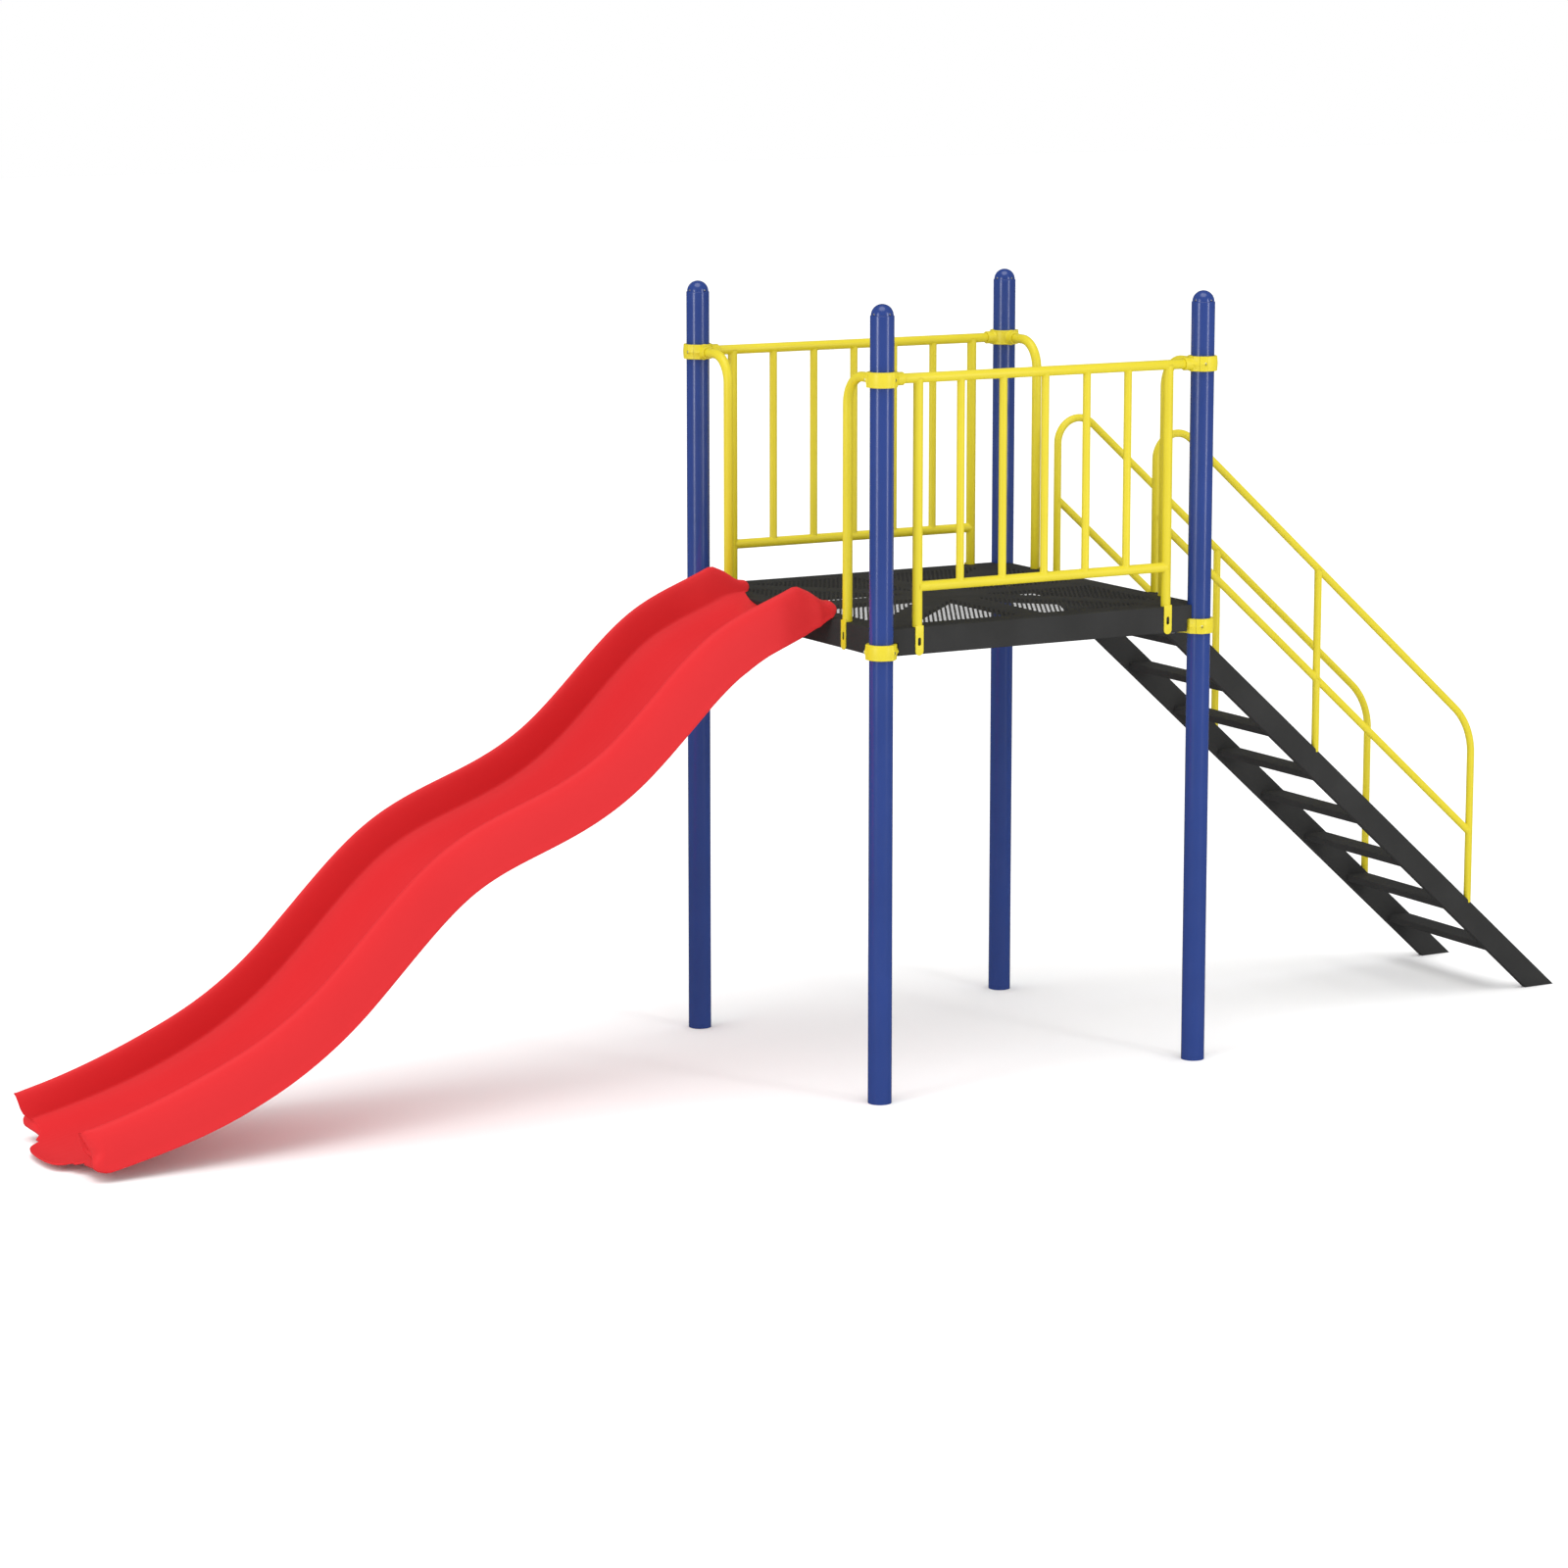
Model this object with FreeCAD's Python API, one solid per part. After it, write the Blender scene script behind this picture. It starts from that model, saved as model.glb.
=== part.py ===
"""Free-standing playground slide: a four-post deck with a wave slide at one end and stairs at the other.

The origin is on the ground at the middle of the four posts. +Z is up, +X points to the stairs and -X
down the slide. "Left" is -Y and "right" is +Y, as somebody sees them who sits at the top of the slide.
All sizes are in millimetres.
"""
import FreeCAD, Part
import math
import os

Vector = FreeCAD.Vector

# ---- tower: posts and their caps ----
POST_GRID = 1200.0            # post centre to post centre, both ways
POST_OD = 76.1                # 3 inch tube
POST_WALL = 3.2
POST_TOP = 2497.4             # rim of the tube
POST_RIM_ROUND = 2.4
FOOT_PLATE = 8.0              # thickness of the plate welded into the foot of a post
FOOT_HOLE = 18.0              # its hole for a ground anchor
CAP_RADIUS = 35.6             # hemispherical cap, so also its height above the rim
CAP_WALL = 3.0
CAP_SKIRT = 40.0              # length of the skirt inside the tube
CAP_GAP = 0.2
RIVET_SHANK = 4.0
RIVET_HEAD = 7.0
RIVET_HEAD_DEPTH = 1.6
RIVET_LENGTH = 8.0
RIVET_RISE = 4.5              # height of the rivets above the rim
RIVET_TURN = 12.0             # degrees from the X axis to the first rivet

# ---- clamps ----
CLAMP_RADIUS = 49.0           # widest radius of the barrel-shaped ring
CLAMP_EDGE_RADIUS = 46.5      # radius at its top and bottom edges
CLAMP_HEIGHT = 48.4
CLAMP_BORE_GAP = 0.15
CLAMP_SPLIT = 0.8             # gap between the two halves
EAR_OFFSET = 45.5             # clamp screw axis to post axis
EAR_RADIUS = 8.0
EAR_REACH = 22.0              # length of an ear from the split
CLAMP_SCREW = 8.0
CLAMP_SCREW_HEAD = 12.0
CLAMP_SCREW_HEAD_DEPTH = 6.0
CLAMP_SCREW_REACH = 13.0      # thread length in the inner half
CLAMP_SCREW_KEY = 6.0         # across the flats of its socket
TOP_CLAMP_Z = 2299.0
DECK_CLAMP_Z = 1446.8
SOCKET_OD = 42.0
SOCKET_REACH = 74.0           # from the post axis to the mouth of a rail socket
SOCKET_GAP = 0.15
LUG_WIDTH = 50.0              # shelf under the deck's corner
LUG_REACH = 108.0
LUG_THICKNESS = 7.4

# ---- deck ----
DECK_TOP = 1516.0
DECK_HALF = 612.0             # outer faces of the folded edges
DECK_SHEET = 2.5
DECK_DEPTH = 86.0
NOTCH_RADIUS = 38.8           # round each post
CLAMP_NOTCH_RADIUS = 56.0     # lower part of that notch, round the clamp
RIB_WIDTH = 90.0
RIB_DEPTH = 12.0
RIB_SHEET = 3.0
DIAGONAL_RIB_REACH = 777.5    # from the deck's middle to the end of a corner rib
HUB_FLATS = 240.0
SEAT_SIZE = 150.0             # corner plate that rests on the clamp's shelf
SEAT_SHOULDER = 75.0          # depth at which the plate is widest
SEAT_BULGE = 37.5             # extra width there
SEAT_THICKNESS = 6.0
SEAT_BOLT_REACH = 86.0        # from the post axis, along the diagonal

# ---- guard panels and entrance hoops ----
RAIL_OD = 31.75
RAIL_WALL = 2.0
BALUSTER_OD = 25.4
BALUSTER_WALL = 2.0
BALUSTER_PITCH = 156.5
GUARD_UPRIGHT_X = 469.0
GUARD_BOTTOM_Z = 1644.0
HOOP_LEG_Y = 390.0
HOOP_BEND = 93.0              # centre-line radius
TAB_WIDTH = 29.0
TAB_THICKNESS = 4.0
TAB_TOP = DECK_TOP + 6.0
TAB_BOTTOM = 1427.0
TAB_SLOT_WIDTH = 10.0
TAB_SLOT_LENGTH = 25.0
TAB_SLOT_Z = 1471.0
STUD_DIAMETER = 8.0
STUD_TAIL = 2.0               # beyond the nut
STUD_NUT = 12.8               # across the flats

# ---- stairs ----
STEPS = 9                     # equal risers, eight treads and then the deck
STRINGER_OUT = 310.0
STRINGER_WIDTH = 25.0
STRINGER_WALL = 2.5
STRINGER_END_PLATE = 8.0
STAIR_SLOPE = 0.8865          # rise over run
STAIR_TOE = 2345.0            # where the stringer's upper edge meets the ground
STAIR_HEEL = 2223.0           # where its lower edge does
TREAD_DEPTH = 87.0
TREAD_THICKNESS = 23.0
TREAD_SHEET = 3.0
TREAD_SET_BACK = 5.0          # nosing behind the stringer's upper edge

# ---- handrails ----
HANDRAIL_Y = 298.0
HANDRAIL_OD = 25.4
HANDRAIL_WALL = 2.0
HANDRAIL_TOP_X = 629.3        # upper leg
HANDRAIL_FOOT_X = 1961.0      # lower leg
HANDRAIL_RISE = 2697.9        # height of the top rail's line at x = 0
MID_RAIL_RISE = 2321.9        # height of the mid rail's line at x = 0
UPPER_LOOP = 82.6             # centre-line radii
LOWER_BEND = 222.8
SPIGOT_LENGTH = 40.0

# ---- slide ----
# Crest of the side walls in side view: x, height and slope in degrees of climb towards the deck.
# The first and the last points lie beyond the trimmed ends and shape the level run-out and entry.
CREST = [
    (-3215.0, 153.5, 0.0),
    (-3160.0, 155.1, 11.6),
    (-2670.0, 322.0, 24.4),
    (-2328.0, 555.0, 44.2),
    (-1987.0, 873.5, 35.2),
    (-1414.0, 1150.3, 36.2),
    (-1021.0, 1496.0, 32.3),
    (-750.0, 1616.5, 23.5),
    (-585.0, 1646.0, 4.0),
]
SLIDE_SHELL = 6.5
CREST_HALF = 277.5            # half the distance between the crests
FLANGE_HALF = 315.6           # half the width over the rolled outer flanges
CREASE_HALF = 262.7           # where wall and bed meet
CREASE_DROP = 109.5           # drops below the crest, square to the run
BED_DROP = 151.0
CREST_ROUND = 26.0            # reach of the curves that round the crest, the flange, the wall and the bed
FLANGE_BEND = 65.0
WALL_BEND = 30.0
BED_SHOULDER = (215.0, 148.0)
BED_FLAT = 150.0
# Drop of the flange's lower rim along the crest line: x, drop.
FLANGE_DROP = [(-1000.0, 160.0), (-900.0, 153.0), (-780.0, 150.0), (-680.0, 143.0), (-622.0, 122.0)]
EXIT_SHRINK = 0.15            # the section gets this much shallower by the exit
SHRINK_FROM = -2700.0
SHRINK_TO = -3150.0
SECTION_STEP = 85.0           # run between two sections of the chute
LIP_HALF = 180.0              # half width of the tongue at the exit
LIP_CORNER = 88.0
LIP_FRONT = -3197.0
# Side view of the front end of the walls and of the slope that takes off their upper end: x, height.
WALL_FRONT = [
    (-3159.0, 160.0),
    (-3147.0, 114.0),
    (-3124.0, 70.0),
    (-3129.0, 46.0),
    (-3112.0, 22.0),
    (-3096.0, 10.0),
]
TOP_CUT = [(-734.0, 1634.0), (-728.0, 1627.0), (-636.0, 1574.0), (-594.0, 1563.0)]
SLIDE_OVER_DECK = -594.0      # the wall tips lap over the edge of the deck
SLIDE_DECK_GAP = 0.5          # under those tips
TONGUE_HEIGHT = 100.0         # more than the height of the bed at the exit
SLIDE_FLANGE_HALF = 175.0     # bolting flange under the entry
SLIDE_FLANGE_BOTTOM = 1436.0
SLIDE_FLANGE_TOP = 1488.0
SLIDE_FLANGE_THICKNESS = 8.0

# ---- deck bolts: M10, the same for the slide, the stairs and the corner seats ----
BOLT = 10.0
BOLT_GAP = 0.25               # clearance round a bolt in its hole
BOLT_HEAD = 17.0
BOLT_HEAD_DEPTH = 6.4
BOLT_LENGTH = 24.0
NUT_DEPTH = 8.0
SLIDE_BOLT_YS = (-140.0, -50.0, 50.0, 140.0)
SLIDE_BOLT_Z = 1456.0
STAIR_BOLT_ZS = (1452.0, 1490.0)

UP = Vector(0, 0, 1)
ALONG_X = Vector(1, 0, 0)
ALONG_Y = Vector(0, 1, 0)
HALF_GRID = POST_GRID / 2
HUGE = 4000.0
BELOW = 100.0                 # how far cutting blocks reach under the ground
CORNERS = {
    "slide_left": (-1, -1),
    "slide_right": (-1, 1),
    "stair_left": (1, -1),
    "stair_right": (1, 1),
}


def export(node, solids):
    """Write one sub-part, which may be several separate solids, to its STEP file."""
    shape = solids[0] if len(solids) == 1 else Part.makeCompound(solids)
    shape.exportStep(f"parts/{node}.step")


def box(low, high):
    """Box between two opposite corners."""
    size = Vector(*high) - Vector(*low)
    return Part.makeBox(size.x, size.y, size.z, Vector(*low))


def bar(start, end, diameter):
    """Solid round bar between two points."""
    axis = end - start
    return Part.makeCylinder(diameter / 2, axis.Length, start, axis)


def tube(start, end, diameter, wall):
    """Round tube between two points."""
    return bar(start, end, diameter).cut(bar(start, end, diameter - 2 * wall))


def bend(start, middle, end, diameter, wall):
    """Bent tube along the arc through three points, square to its ends."""
    arc = Part.Arc(start, middle, end)
    direction = arc.tangent(arc.FirstParameter)[0]
    path = Part.Wire(arc.toShape())
    outer = Part.Wire(Part.Circle(start, direction, diameter / 2).toShape())
    inner = Part.Wire(Part.Circle(start, direction, diameter / 2 - wall).toShape())
    return path.makePipeShell([outer], True, True).cut(path.makePipeShell([inner], True, True))


def side_prism(outline, half_width):
    """Prism across Y from an outline of (x, z) points."""
    points = [Vector(x, -half_width, z) for x, z in outline]
    face = Part.Face(Part.makePolygon(points + points[:1]))
    return face.extrude(Vector(0, 2 * half_width, 0))


def plan_prism(outline, bottom, top):
    """Upright prism from an outline of (x, y) points."""
    points = [Vector(x, y, bottom) for x, y in outline]
    face = Part.Face(Part.makePolygon(points + points[:1]))
    return face.extrude(Vector(0, 0, top - bottom))


def hexagon(centre, axis, flats, depth):
    """Hexagonal prism from a point along an axis."""
    turn = FreeCAD.Rotation(UP, axis)
    corner = flats / math.sqrt(3)
    points = []
    for side in range(6):
        angle = math.radians(60 * side)
        points.append(centre + turn.multVec(Vector(corner * math.cos(angle), corner * math.sin(angle), 0)))
    return Part.Face(Part.makePolygon(points + points[:1])).extrude(axis * depth)


def post_axis(corner):
    """Foot of the post at a corner and the level direction from it to the middle of the deck."""
    side_x, side_y = corner
    foot = Vector(side_x * HALF_GRID, side_y * HALF_GRID, 0)
    inward = Vector(-side_x, -side_y, 0).normalize()
    return foot, inward


# ---------------------------------------------------------------- posts and caps
def make_post(corner):
    """Tube post with a rounded rim."""
    foot, _ = post_axis(corner)
    outer = bar(foot, foot + UP * POST_TOP, POST_OD)
    rim = [edge for edge in outer.Edges if edge.BoundBox.ZMin > POST_TOP - 1]
    outer = outer.makeFillet(POST_RIM_ROUND, rim)
    return outer.cut(bar(foot, foot + UP * POST_TOP, POST_OD - 2 * POST_WALL))


def make_foot_plate(corner):
    """Plate inside the foot of a post, drilled for a ground anchor."""
    foot, _ = post_axis(corner)
    top = foot + UP * FOOT_PLATE
    return bar(foot, top, POST_OD - 2 * POST_WALL).cut(bar(foot, top, FOOT_HOLE))


def rivet_axes(corner):
    """Seat point and outward direction of each rivet round the foot of a cap's dome."""
    foot, _ = post_axis(corner)
    centre = foot + UP * POST_TOP
    tilt = math.asin(RIVET_RISE / CAP_RADIUS)
    axes = []
    for quarter in range(4):
        turn = math.radians(RIVET_TURN + 90 * quarter)
        out = Vector(math.cos(turn) * math.cos(tilt), math.sin(turn) * math.cos(tilt), math.sin(tilt))
        axes.append((centre + out * CAP_RADIUS, out))
    return axes


def make_cap(corner):
    """Domed cap with a skirt inside the tube, drilled for its rivets."""
    foot, _ = post_axis(corner)
    centre = foot + UP * POST_TOP
    skirt_radius = POST_OD / 2 - POST_WALL - CAP_GAP
    bottom = centre - UP * CAP_SKIRT
    cap = Part.makeSphere(CAP_RADIUS, centre, UP, 0, 90, 360)
    cap = cap.fuse(bar(bottom, centre, 2 * skirt_radius))
    cap = cap.cut(Part.makeSphere(CAP_RADIUS - CAP_WALL, centre, UP, 0, 90, 360))
    cap = cap.cut(bar(bottom, centre, 2 * (CAP_RADIUS - CAP_WALL)))
    for seat, out in rivet_axes(corner):
        cap = cap.cut(bar(seat - out * RIVET_LENGTH, seat + out * RIVET_LENGTH, RIVET_SHANK))
    return cap.removeSplitter()


def make_cap_rivets(corner):
    """Drive rivets that lock a cap."""
    rivets = []
    for seat, out in rivet_axes(corner):
        shank = bar(seat - out * RIVET_LENGTH, seat, RIVET_SHANK)
        head = bar(seat, seat + out * RIVET_HEAD_DEPTH, RIVET_HEAD)
        rivets.append(shank.fuse(head))
    return rivets


# ---------------------------------------------------------------- clamps
def clamp_ring(foot, height_z):
    """Barrel-shaped ring round a post, with an ear each side of the split."""
    half = CLAMP_HEIGHT / 2
    bore = POST_OD / 2 + CLAMP_BORE_GAP
    bulge = Part.Arc(Vector(CLAMP_EDGE_RADIUS, 0, -half), Vector(CLAMP_RADIUS, 0, 0),
                     Vector(CLAMP_EDGE_RADIUS, 0, half)).toShape()
    rest = Part.makePolygon([Vector(CLAMP_EDGE_RADIUS, 0, half), Vector(bore, 0, half),
                             Vector(bore, 0, -half), Vector(CLAMP_EDGE_RADIUS, 0, -half)])
    profile = Part.Face(Part.Wire([bulge] + rest.Edges))
    ring = profile.revolve(Vector(0, 0, 0), UP, 360)
    ring.translate(foot + UP * height_z)
    return ring


def clamp_screw_axes(corner, height_z):
    """Points on the split where the two clamp screws cross it."""
    foot, inward = post_axis(corner)
    across = UP.cross(inward)
    return [foot + UP * height_z + across * side * EAR_OFFSET for side in (-1, 1)]


def make_clamp(corner, height_z, with_sockets):
    """Inner and outer halves of a clamp: top clamps carry rail sockets, deck clamps a shelf."""
    foot, inward = post_axis(corner)
    side_x, side_y = corner
    level = foot + UP * height_z
    body = clamp_ring(foot, height_z)
    for point in clamp_screw_axes(corner, height_z):
        body = body.fuse(bar(point - inward * EAR_REACH, point + inward * EAR_REACH, 2 * EAR_RADIUS))
    outer = body.copy()
    if with_sockets:
        for direction in (ALONG_X * -side_x, ALONG_Y * -side_y):
            mouth = level + direction * SOCKET_REACH
            body = body.fuse(bar(level + direction * POST_OD / 2, mouth, SOCKET_OD))
            outer = outer.cut(bar(level, mouth, SOCKET_OD + 1))
        for direction in (ALONG_X * -side_x, ALONG_Y * -side_y):
            bore = RAIL_OD + 2 * SOCKET_GAP
            body = body.cut(bar(level + direction * POST_OD / 2, level + direction * 2 * SOCKET_REACH, bore))
    else:
        shelf = shelf_plate(corner, height_z - CLAMP_HEIGHT / 2)
        body = body.fuse(shelf)
    post = bar(foot, foot + UP * POST_TOP, POST_OD + 2 * CLAMP_BORE_GAP)
    keep_inner = split_block(corner, height_z, 1)
    keep_outer = split_block(corner, height_z, -1)
    inner = body.cut(post).common(keep_inner)
    outer = outer.cut(post).common(keep_outer)
    for point in clamp_screw_axes(corner, height_z):
        inner = inner.cut(bar(point, point + inward * CLAMP_SCREW_REACH, CLAMP_SCREW))
        outer = outer.cut(bar(point - inward * EAR_REACH, point, CLAMP_SCREW))
        seat = point - inward * (EAR_REACH - CLAMP_SCREW_HEAD_DEPTH)
        outer = outer.cut(bar(seat - inward * EAR_REACH, seat, CLAMP_SCREW_HEAD))
    return inner.removeSplitter(), outer.removeSplitter()


def split_block(corner, height_z, side):
    """Block that keeps one half of a clamp: the inner half (1) or the outer half (-1)."""
    foot, inward = post_axis(corner)
    reach = 2 * LUG_REACH
    block = box((CLAMP_SPLIT / 2, -reach, -reach), (reach, reach, reach))
    turn = math.degrees(math.atan2(inward.y * side, inward.x * side))
    block.rotate(Vector(0, 0, 0), UP, turn)
    block.translate(foot + UP * height_z)
    return block


def shelf_plate(corner, bottom_z):
    """Level shelf that points from a deck clamp to the middle of the deck, drilled for the seat bolt."""
    foot, inward = post_axis(corner)
    end = LUG_REACH - LUG_WIDTH / 2
    plate = box((0, -LUG_WIDTH / 2, 0), (end, LUG_WIDTH / 2, LUG_THICKNESS))
    plate = plate.fuse(Part.makeCylinder(LUG_WIDTH / 2, LUG_THICKNESS, Vector(end, 0, 0)))
    hole = Part.makeCylinder(BOLT / 2 + BOLT_GAP, LUG_THICKNESS, Vector(SEAT_BOLT_REACH, 0, 0))
    plate = plate.cut(hole)
    plate.rotate(Vector(0, 0, 0), UP, math.degrees(math.atan2(inward.y, inward.x)))
    plate.translate(foot + UP * bottom_z)
    return plate


def make_clamp_screws(corner, height_z):
    """The two socket screws of a clamp."""
    _, inward = post_axis(corner)
    screws = []
    for point in clamp_screw_axes(corner, height_z):
        seat = point - inward * (EAR_REACH - CLAMP_SCREW_HEAD_DEPTH)
        shank = bar(seat, point + inward * CLAMP_SCREW_REACH, CLAMP_SCREW)
        head = bar(seat - inward * CLAMP_SCREW_HEAD_DEPTH, seat, CLAMP_SCREW_HEAD)
        top = seat - inward * CLAMP_SCREW_HEAD_DEPTH
        key = hexagon(top, inward, CLAMP_SCREW_KEY, CLAMP_SCREW_HEAD_DEPTH / 2)
        screws.append(shank.fuse(head).cut(key).removeSplitter())
    return screws


# ---------------------------------------------------------------- deck
def cut_posts(shape):
    """Notch a deck part round the four posts and, lower down, round the deck clamps."""
    clamp_top = DECK_CLAMP_Z + CLAMP_HEIGHT / 2 + 1
    for corner in CORNERS.values():
        foot, _ = post_axis(corner)
        shape = shape.cut(bar(foot, foot + UP * POST_TOP, 2 * NOTCH_RADIUS))
        low = foot + UP * (DECK_CLAMP_Z - CLAMP_HEIGHT / 2 + LUG_THICKNESS)
        shape = shape.cut(bar(low, foot + UP * clamp_top, 2 * CLAMP_NOTCH_RADIUS))
    return shape


def make_deck_sheet():
    """Top sheet of the deck, left whole where the real one is perforated."""
    sheet = box((-DECK_HALF, -DECK_HALF, DECK_TOP - DECK_SHEET), (DECK_HALF, DECK_HALF, DECK_TOP))
    return cut_posts(sheet)


def make_deck_edge(direction, bolt_points):
    """Folded edge of the deck on one side, drilled for the bolts through it."""
    inside = DECK_HALF - DECK_SHEET
    bottom = DECK_TOP - DECK_DEPTH
    along = DECK_HALF if direction.y else inside
    edge = box((inside, -along, bottom), (DECK_HALF, along, DECK_TOP - DECK_SHEET))
    edge.rotate(Vector(0, 0, 0), UP, math.degrees(math.atan2(direction.y, direction.x)))
    for point in bolt_points:
        edge = edge.cut(bar(point - direction * BOLT, point + direction * BOLT, BOLT + 2 * BOLT_GAP))
    for point, outward in stud_places():
        if outward == direction:
            edge = edge.cut(bar(point, point + outward * DECK_HALF, STUD_DIAMETER))
    return cut_posts(edge)


def make_deck_ribs():
    """Eight channel ribs under the sheet, from the hub out to the edges and corners."""
    top = DECK_TOP - DECK_SHEET
    ribs = []
    hub = octagon_prism(HUB_FLATS, top - RIB_DEPTH, top)
    ribs.append(hub.cut(octagon_prism(HUB_FLATS - 2 * RIB_SHEET, top - RIB_DEPTH, top - RIB_SHEET)))
    for arm in range(8):
        is_diagonal = arm % 2 == 1
        end = DIAGONAL_RIB_REACH if is_diagonal else DECK_HALF - DECK_SHEET
        half = RIB_WIDTH / 2
        rib = box((HUB_FLATS / 2, -half, top - RIB_DEPTH), (end, half, top))
        hollow = box((0, -half + RIB_SHEET, top - RIB_DEPTH), (HUGE, half - RIB_SHEET, top - RIB_SHEET))
        rib = rib.cut(hollow)
        rib.rotate(Vector(0, 0, 0), UP, 45 * arm)
        ribs.append(rib)
    return ribs


def octagon_prism(flats, bottom, top):
    """Upright octagonal prism with flats across the X and Y axes."""
    radius = flats / 2 / math.cos(math.radians(22.5))
    outline = []
    for corner in range(8):
        angle = math.radians(22.5 + 45 * corner)
        outline.append((radius * math.cos(angle), radius * math.sin(angle)))
    return plan_prism(outline, bottom, top)


def make_deck_seat(corner):
    """Corner plate inside the deck's edges that rests on a clamp's shelf."""
    side_x, side_y = corner
    foot, inward = post_axis(corner)
    outside = DECK_HALF - DECK_SHEET
    near = outside - SEAT_SIZE
    shoulder = outside - SEAT_SHOULDER
    far = near - SEAT_BULGE
    outline = [(side_x * outside, side_y * outside), (side_x * near, side_y * outside),
               (side_x * far, side_y * shoulder), (side_x * shoulder, side_y * far),
               (side_x * outside, side_y * near)]
    bottom = DECK_TOP - DECK_DEPTH
    plate = plan_prism(outline, bottom, bottom + SEAT_THICKNESS)
    plate = plate.cut(bar(foot, foot + UP * DECK_TOP, 2 * CLAMP_NOTCH_RADIUS))
    hole = foot + inward * SEAT_BOLT_REACH
    return plate.cut(bar(hole, hole + UP * DECK_TOP, BOLT + 2 * BOLT_GAP))


# ---------------------------------------------------------------- guard panels and hoops
def make_tab(centre, outward):
    """Slotted flat strip that hangs from the foot of a tube over the deck's edge."""
    half = TAB_WIDTH / 2
    low = TAB_BOTTOM + half
    strip = box((DECK_HALF, -half, low), (DECK_HALF + TAB_THICKNESS, half, TAB_TOP))
    strip = strip.fuse(Part.makeCylinder(half, TAB_THICKNESS, Vector(DECK_HALF, 0, low), ALONG_X))
    reach = TAB_SLOT_LENGTH / 2 - TAB_SLOT_WIDTH / 2
    for side in (-1, 1):
        start = Vector(DECK_HALF, 0, TAB_SLOT_Z + side * reach)
        strip = strip.cut(Part.makeCylinder(TAB_SLOT_WIDTH / 2, TAB_THICKNESS, start, ALONG_X))
    strip = strip.cut(box((DECK_HALF, -TAB_SLOT_WIDTH / 2, TAB_SLOT_Z - reach),
                          (DECK_HALF + TAB_THICKNESS, TAB_SLOT_WIDTH / 2, TAB_SLOT_Z + reach)))
    strip.rotate(Vector(0, 0, 0), UP, math.degrees(math.atan2(outward.y, outward.x)))
    strip.translate(centre)
    return strip.removeSplitter()


def tab_places():
    """Offset along the deck's edge and outward direction of every tab: two on each guard, four hoops."""
    places = []
    for side in (-1, 1):
        for end in (-1, 1):
            places.append((Vector(end * GUARD_UPRIGHT_X, 0, 0), ALONG_Y * side))
            places.append((Vector(0, end * HOOP_LEG_Y, 0), ALONG_X * side))
    return places


def stud_places():
    """Point on the tower's middle planes and outward direction of every stud, low in its tab's slot."""
    height = UP * (TAB_SLOT_Z - TAB_SLOT_LENGTH / 2 + TAB_SLOT_WIDTH / 2)
    return [(offset + height, outward) for offset, outward in tab_places()]


def make_guard(side):
    """Welded guard panel: two rails, two uprights with tabs, and five balusters."""
    y = side * HALF_GRID
    top_z = TOP_CLAMP_Z
    rail_end = HALF_GRID - POST_OD / 2 - CLAMP_BORE_GAP
    top_start = Vector(-rail_end, y, top_z)
    top_end = Vector(rail_end, y, top_z)
    top_bar = bar(top_start, top_end, RAIL_OD)
    post_bars = []
    for corner in CORNERS.values():
        foot, _ = post_axis(corner)
        post_bars.append(bar(foot, foot + UP * POST_TOP, POST_OD))
    solids = [cut_all(tube(top_start, top_end, RAIL_OD, RAIL_WALL), post_bars)]
    upright_bars = []
    for end in (-1, 1):
        x = end * GUARD_UPRIGHT_X
        tab = make_tab(Vector(x, 0, 0), ALONG_Y * side)
        low = Vector(x, y, DECK_TOP)
        high = Vector(x, y, top_z)
        upright_bars.append(bar(low, high, RAIL_OD))
        solids.append(tube(low, high, RAIL_OD, RAIL_WALL).cut(top_bar).cut(tab))
        solids.append(tab)
    low_start = Vector(-GUARD_UPRIGHT_X, y, GUARD_BOTTOM_Z)
    low_end = Vector(GUARD_UPRIGHT_X, y, GUARD_BOTTOM_Z)
    low_bar = bar(low_start, low_end, RAIL_OD)
    solids.append(inner_piece(cut_all(tube(low_start, low_end, RAIL_OD, RAIL_WALL), upright_bars)))
    for step in range(-2, 3):
        low = Vector(step * BALUSTER_PITCH, y, GUARD_BOTTOM_Z)
        high = Vector(step * BALUSTER_PITCH, y, top_z)
        baluster = tube(low, high, BALUSTER_OD, BALUSTER_WALL)
        solids.append(inner_piece(cut_all(baluster, [top_bar, low_bar])))
    return solids


def cut_all(shape, tools):
    """Cut several tools from a shape."""
    for tool in tools:
        shape = shape.cut(tool)
    return shape


def inner_piece(shape):
    """Largest solid of a cut shape, which drops the slivers that a saddle cut leaves."""
    return max(shape.Solids, key=lambda solid: solid.Volume)


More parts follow.
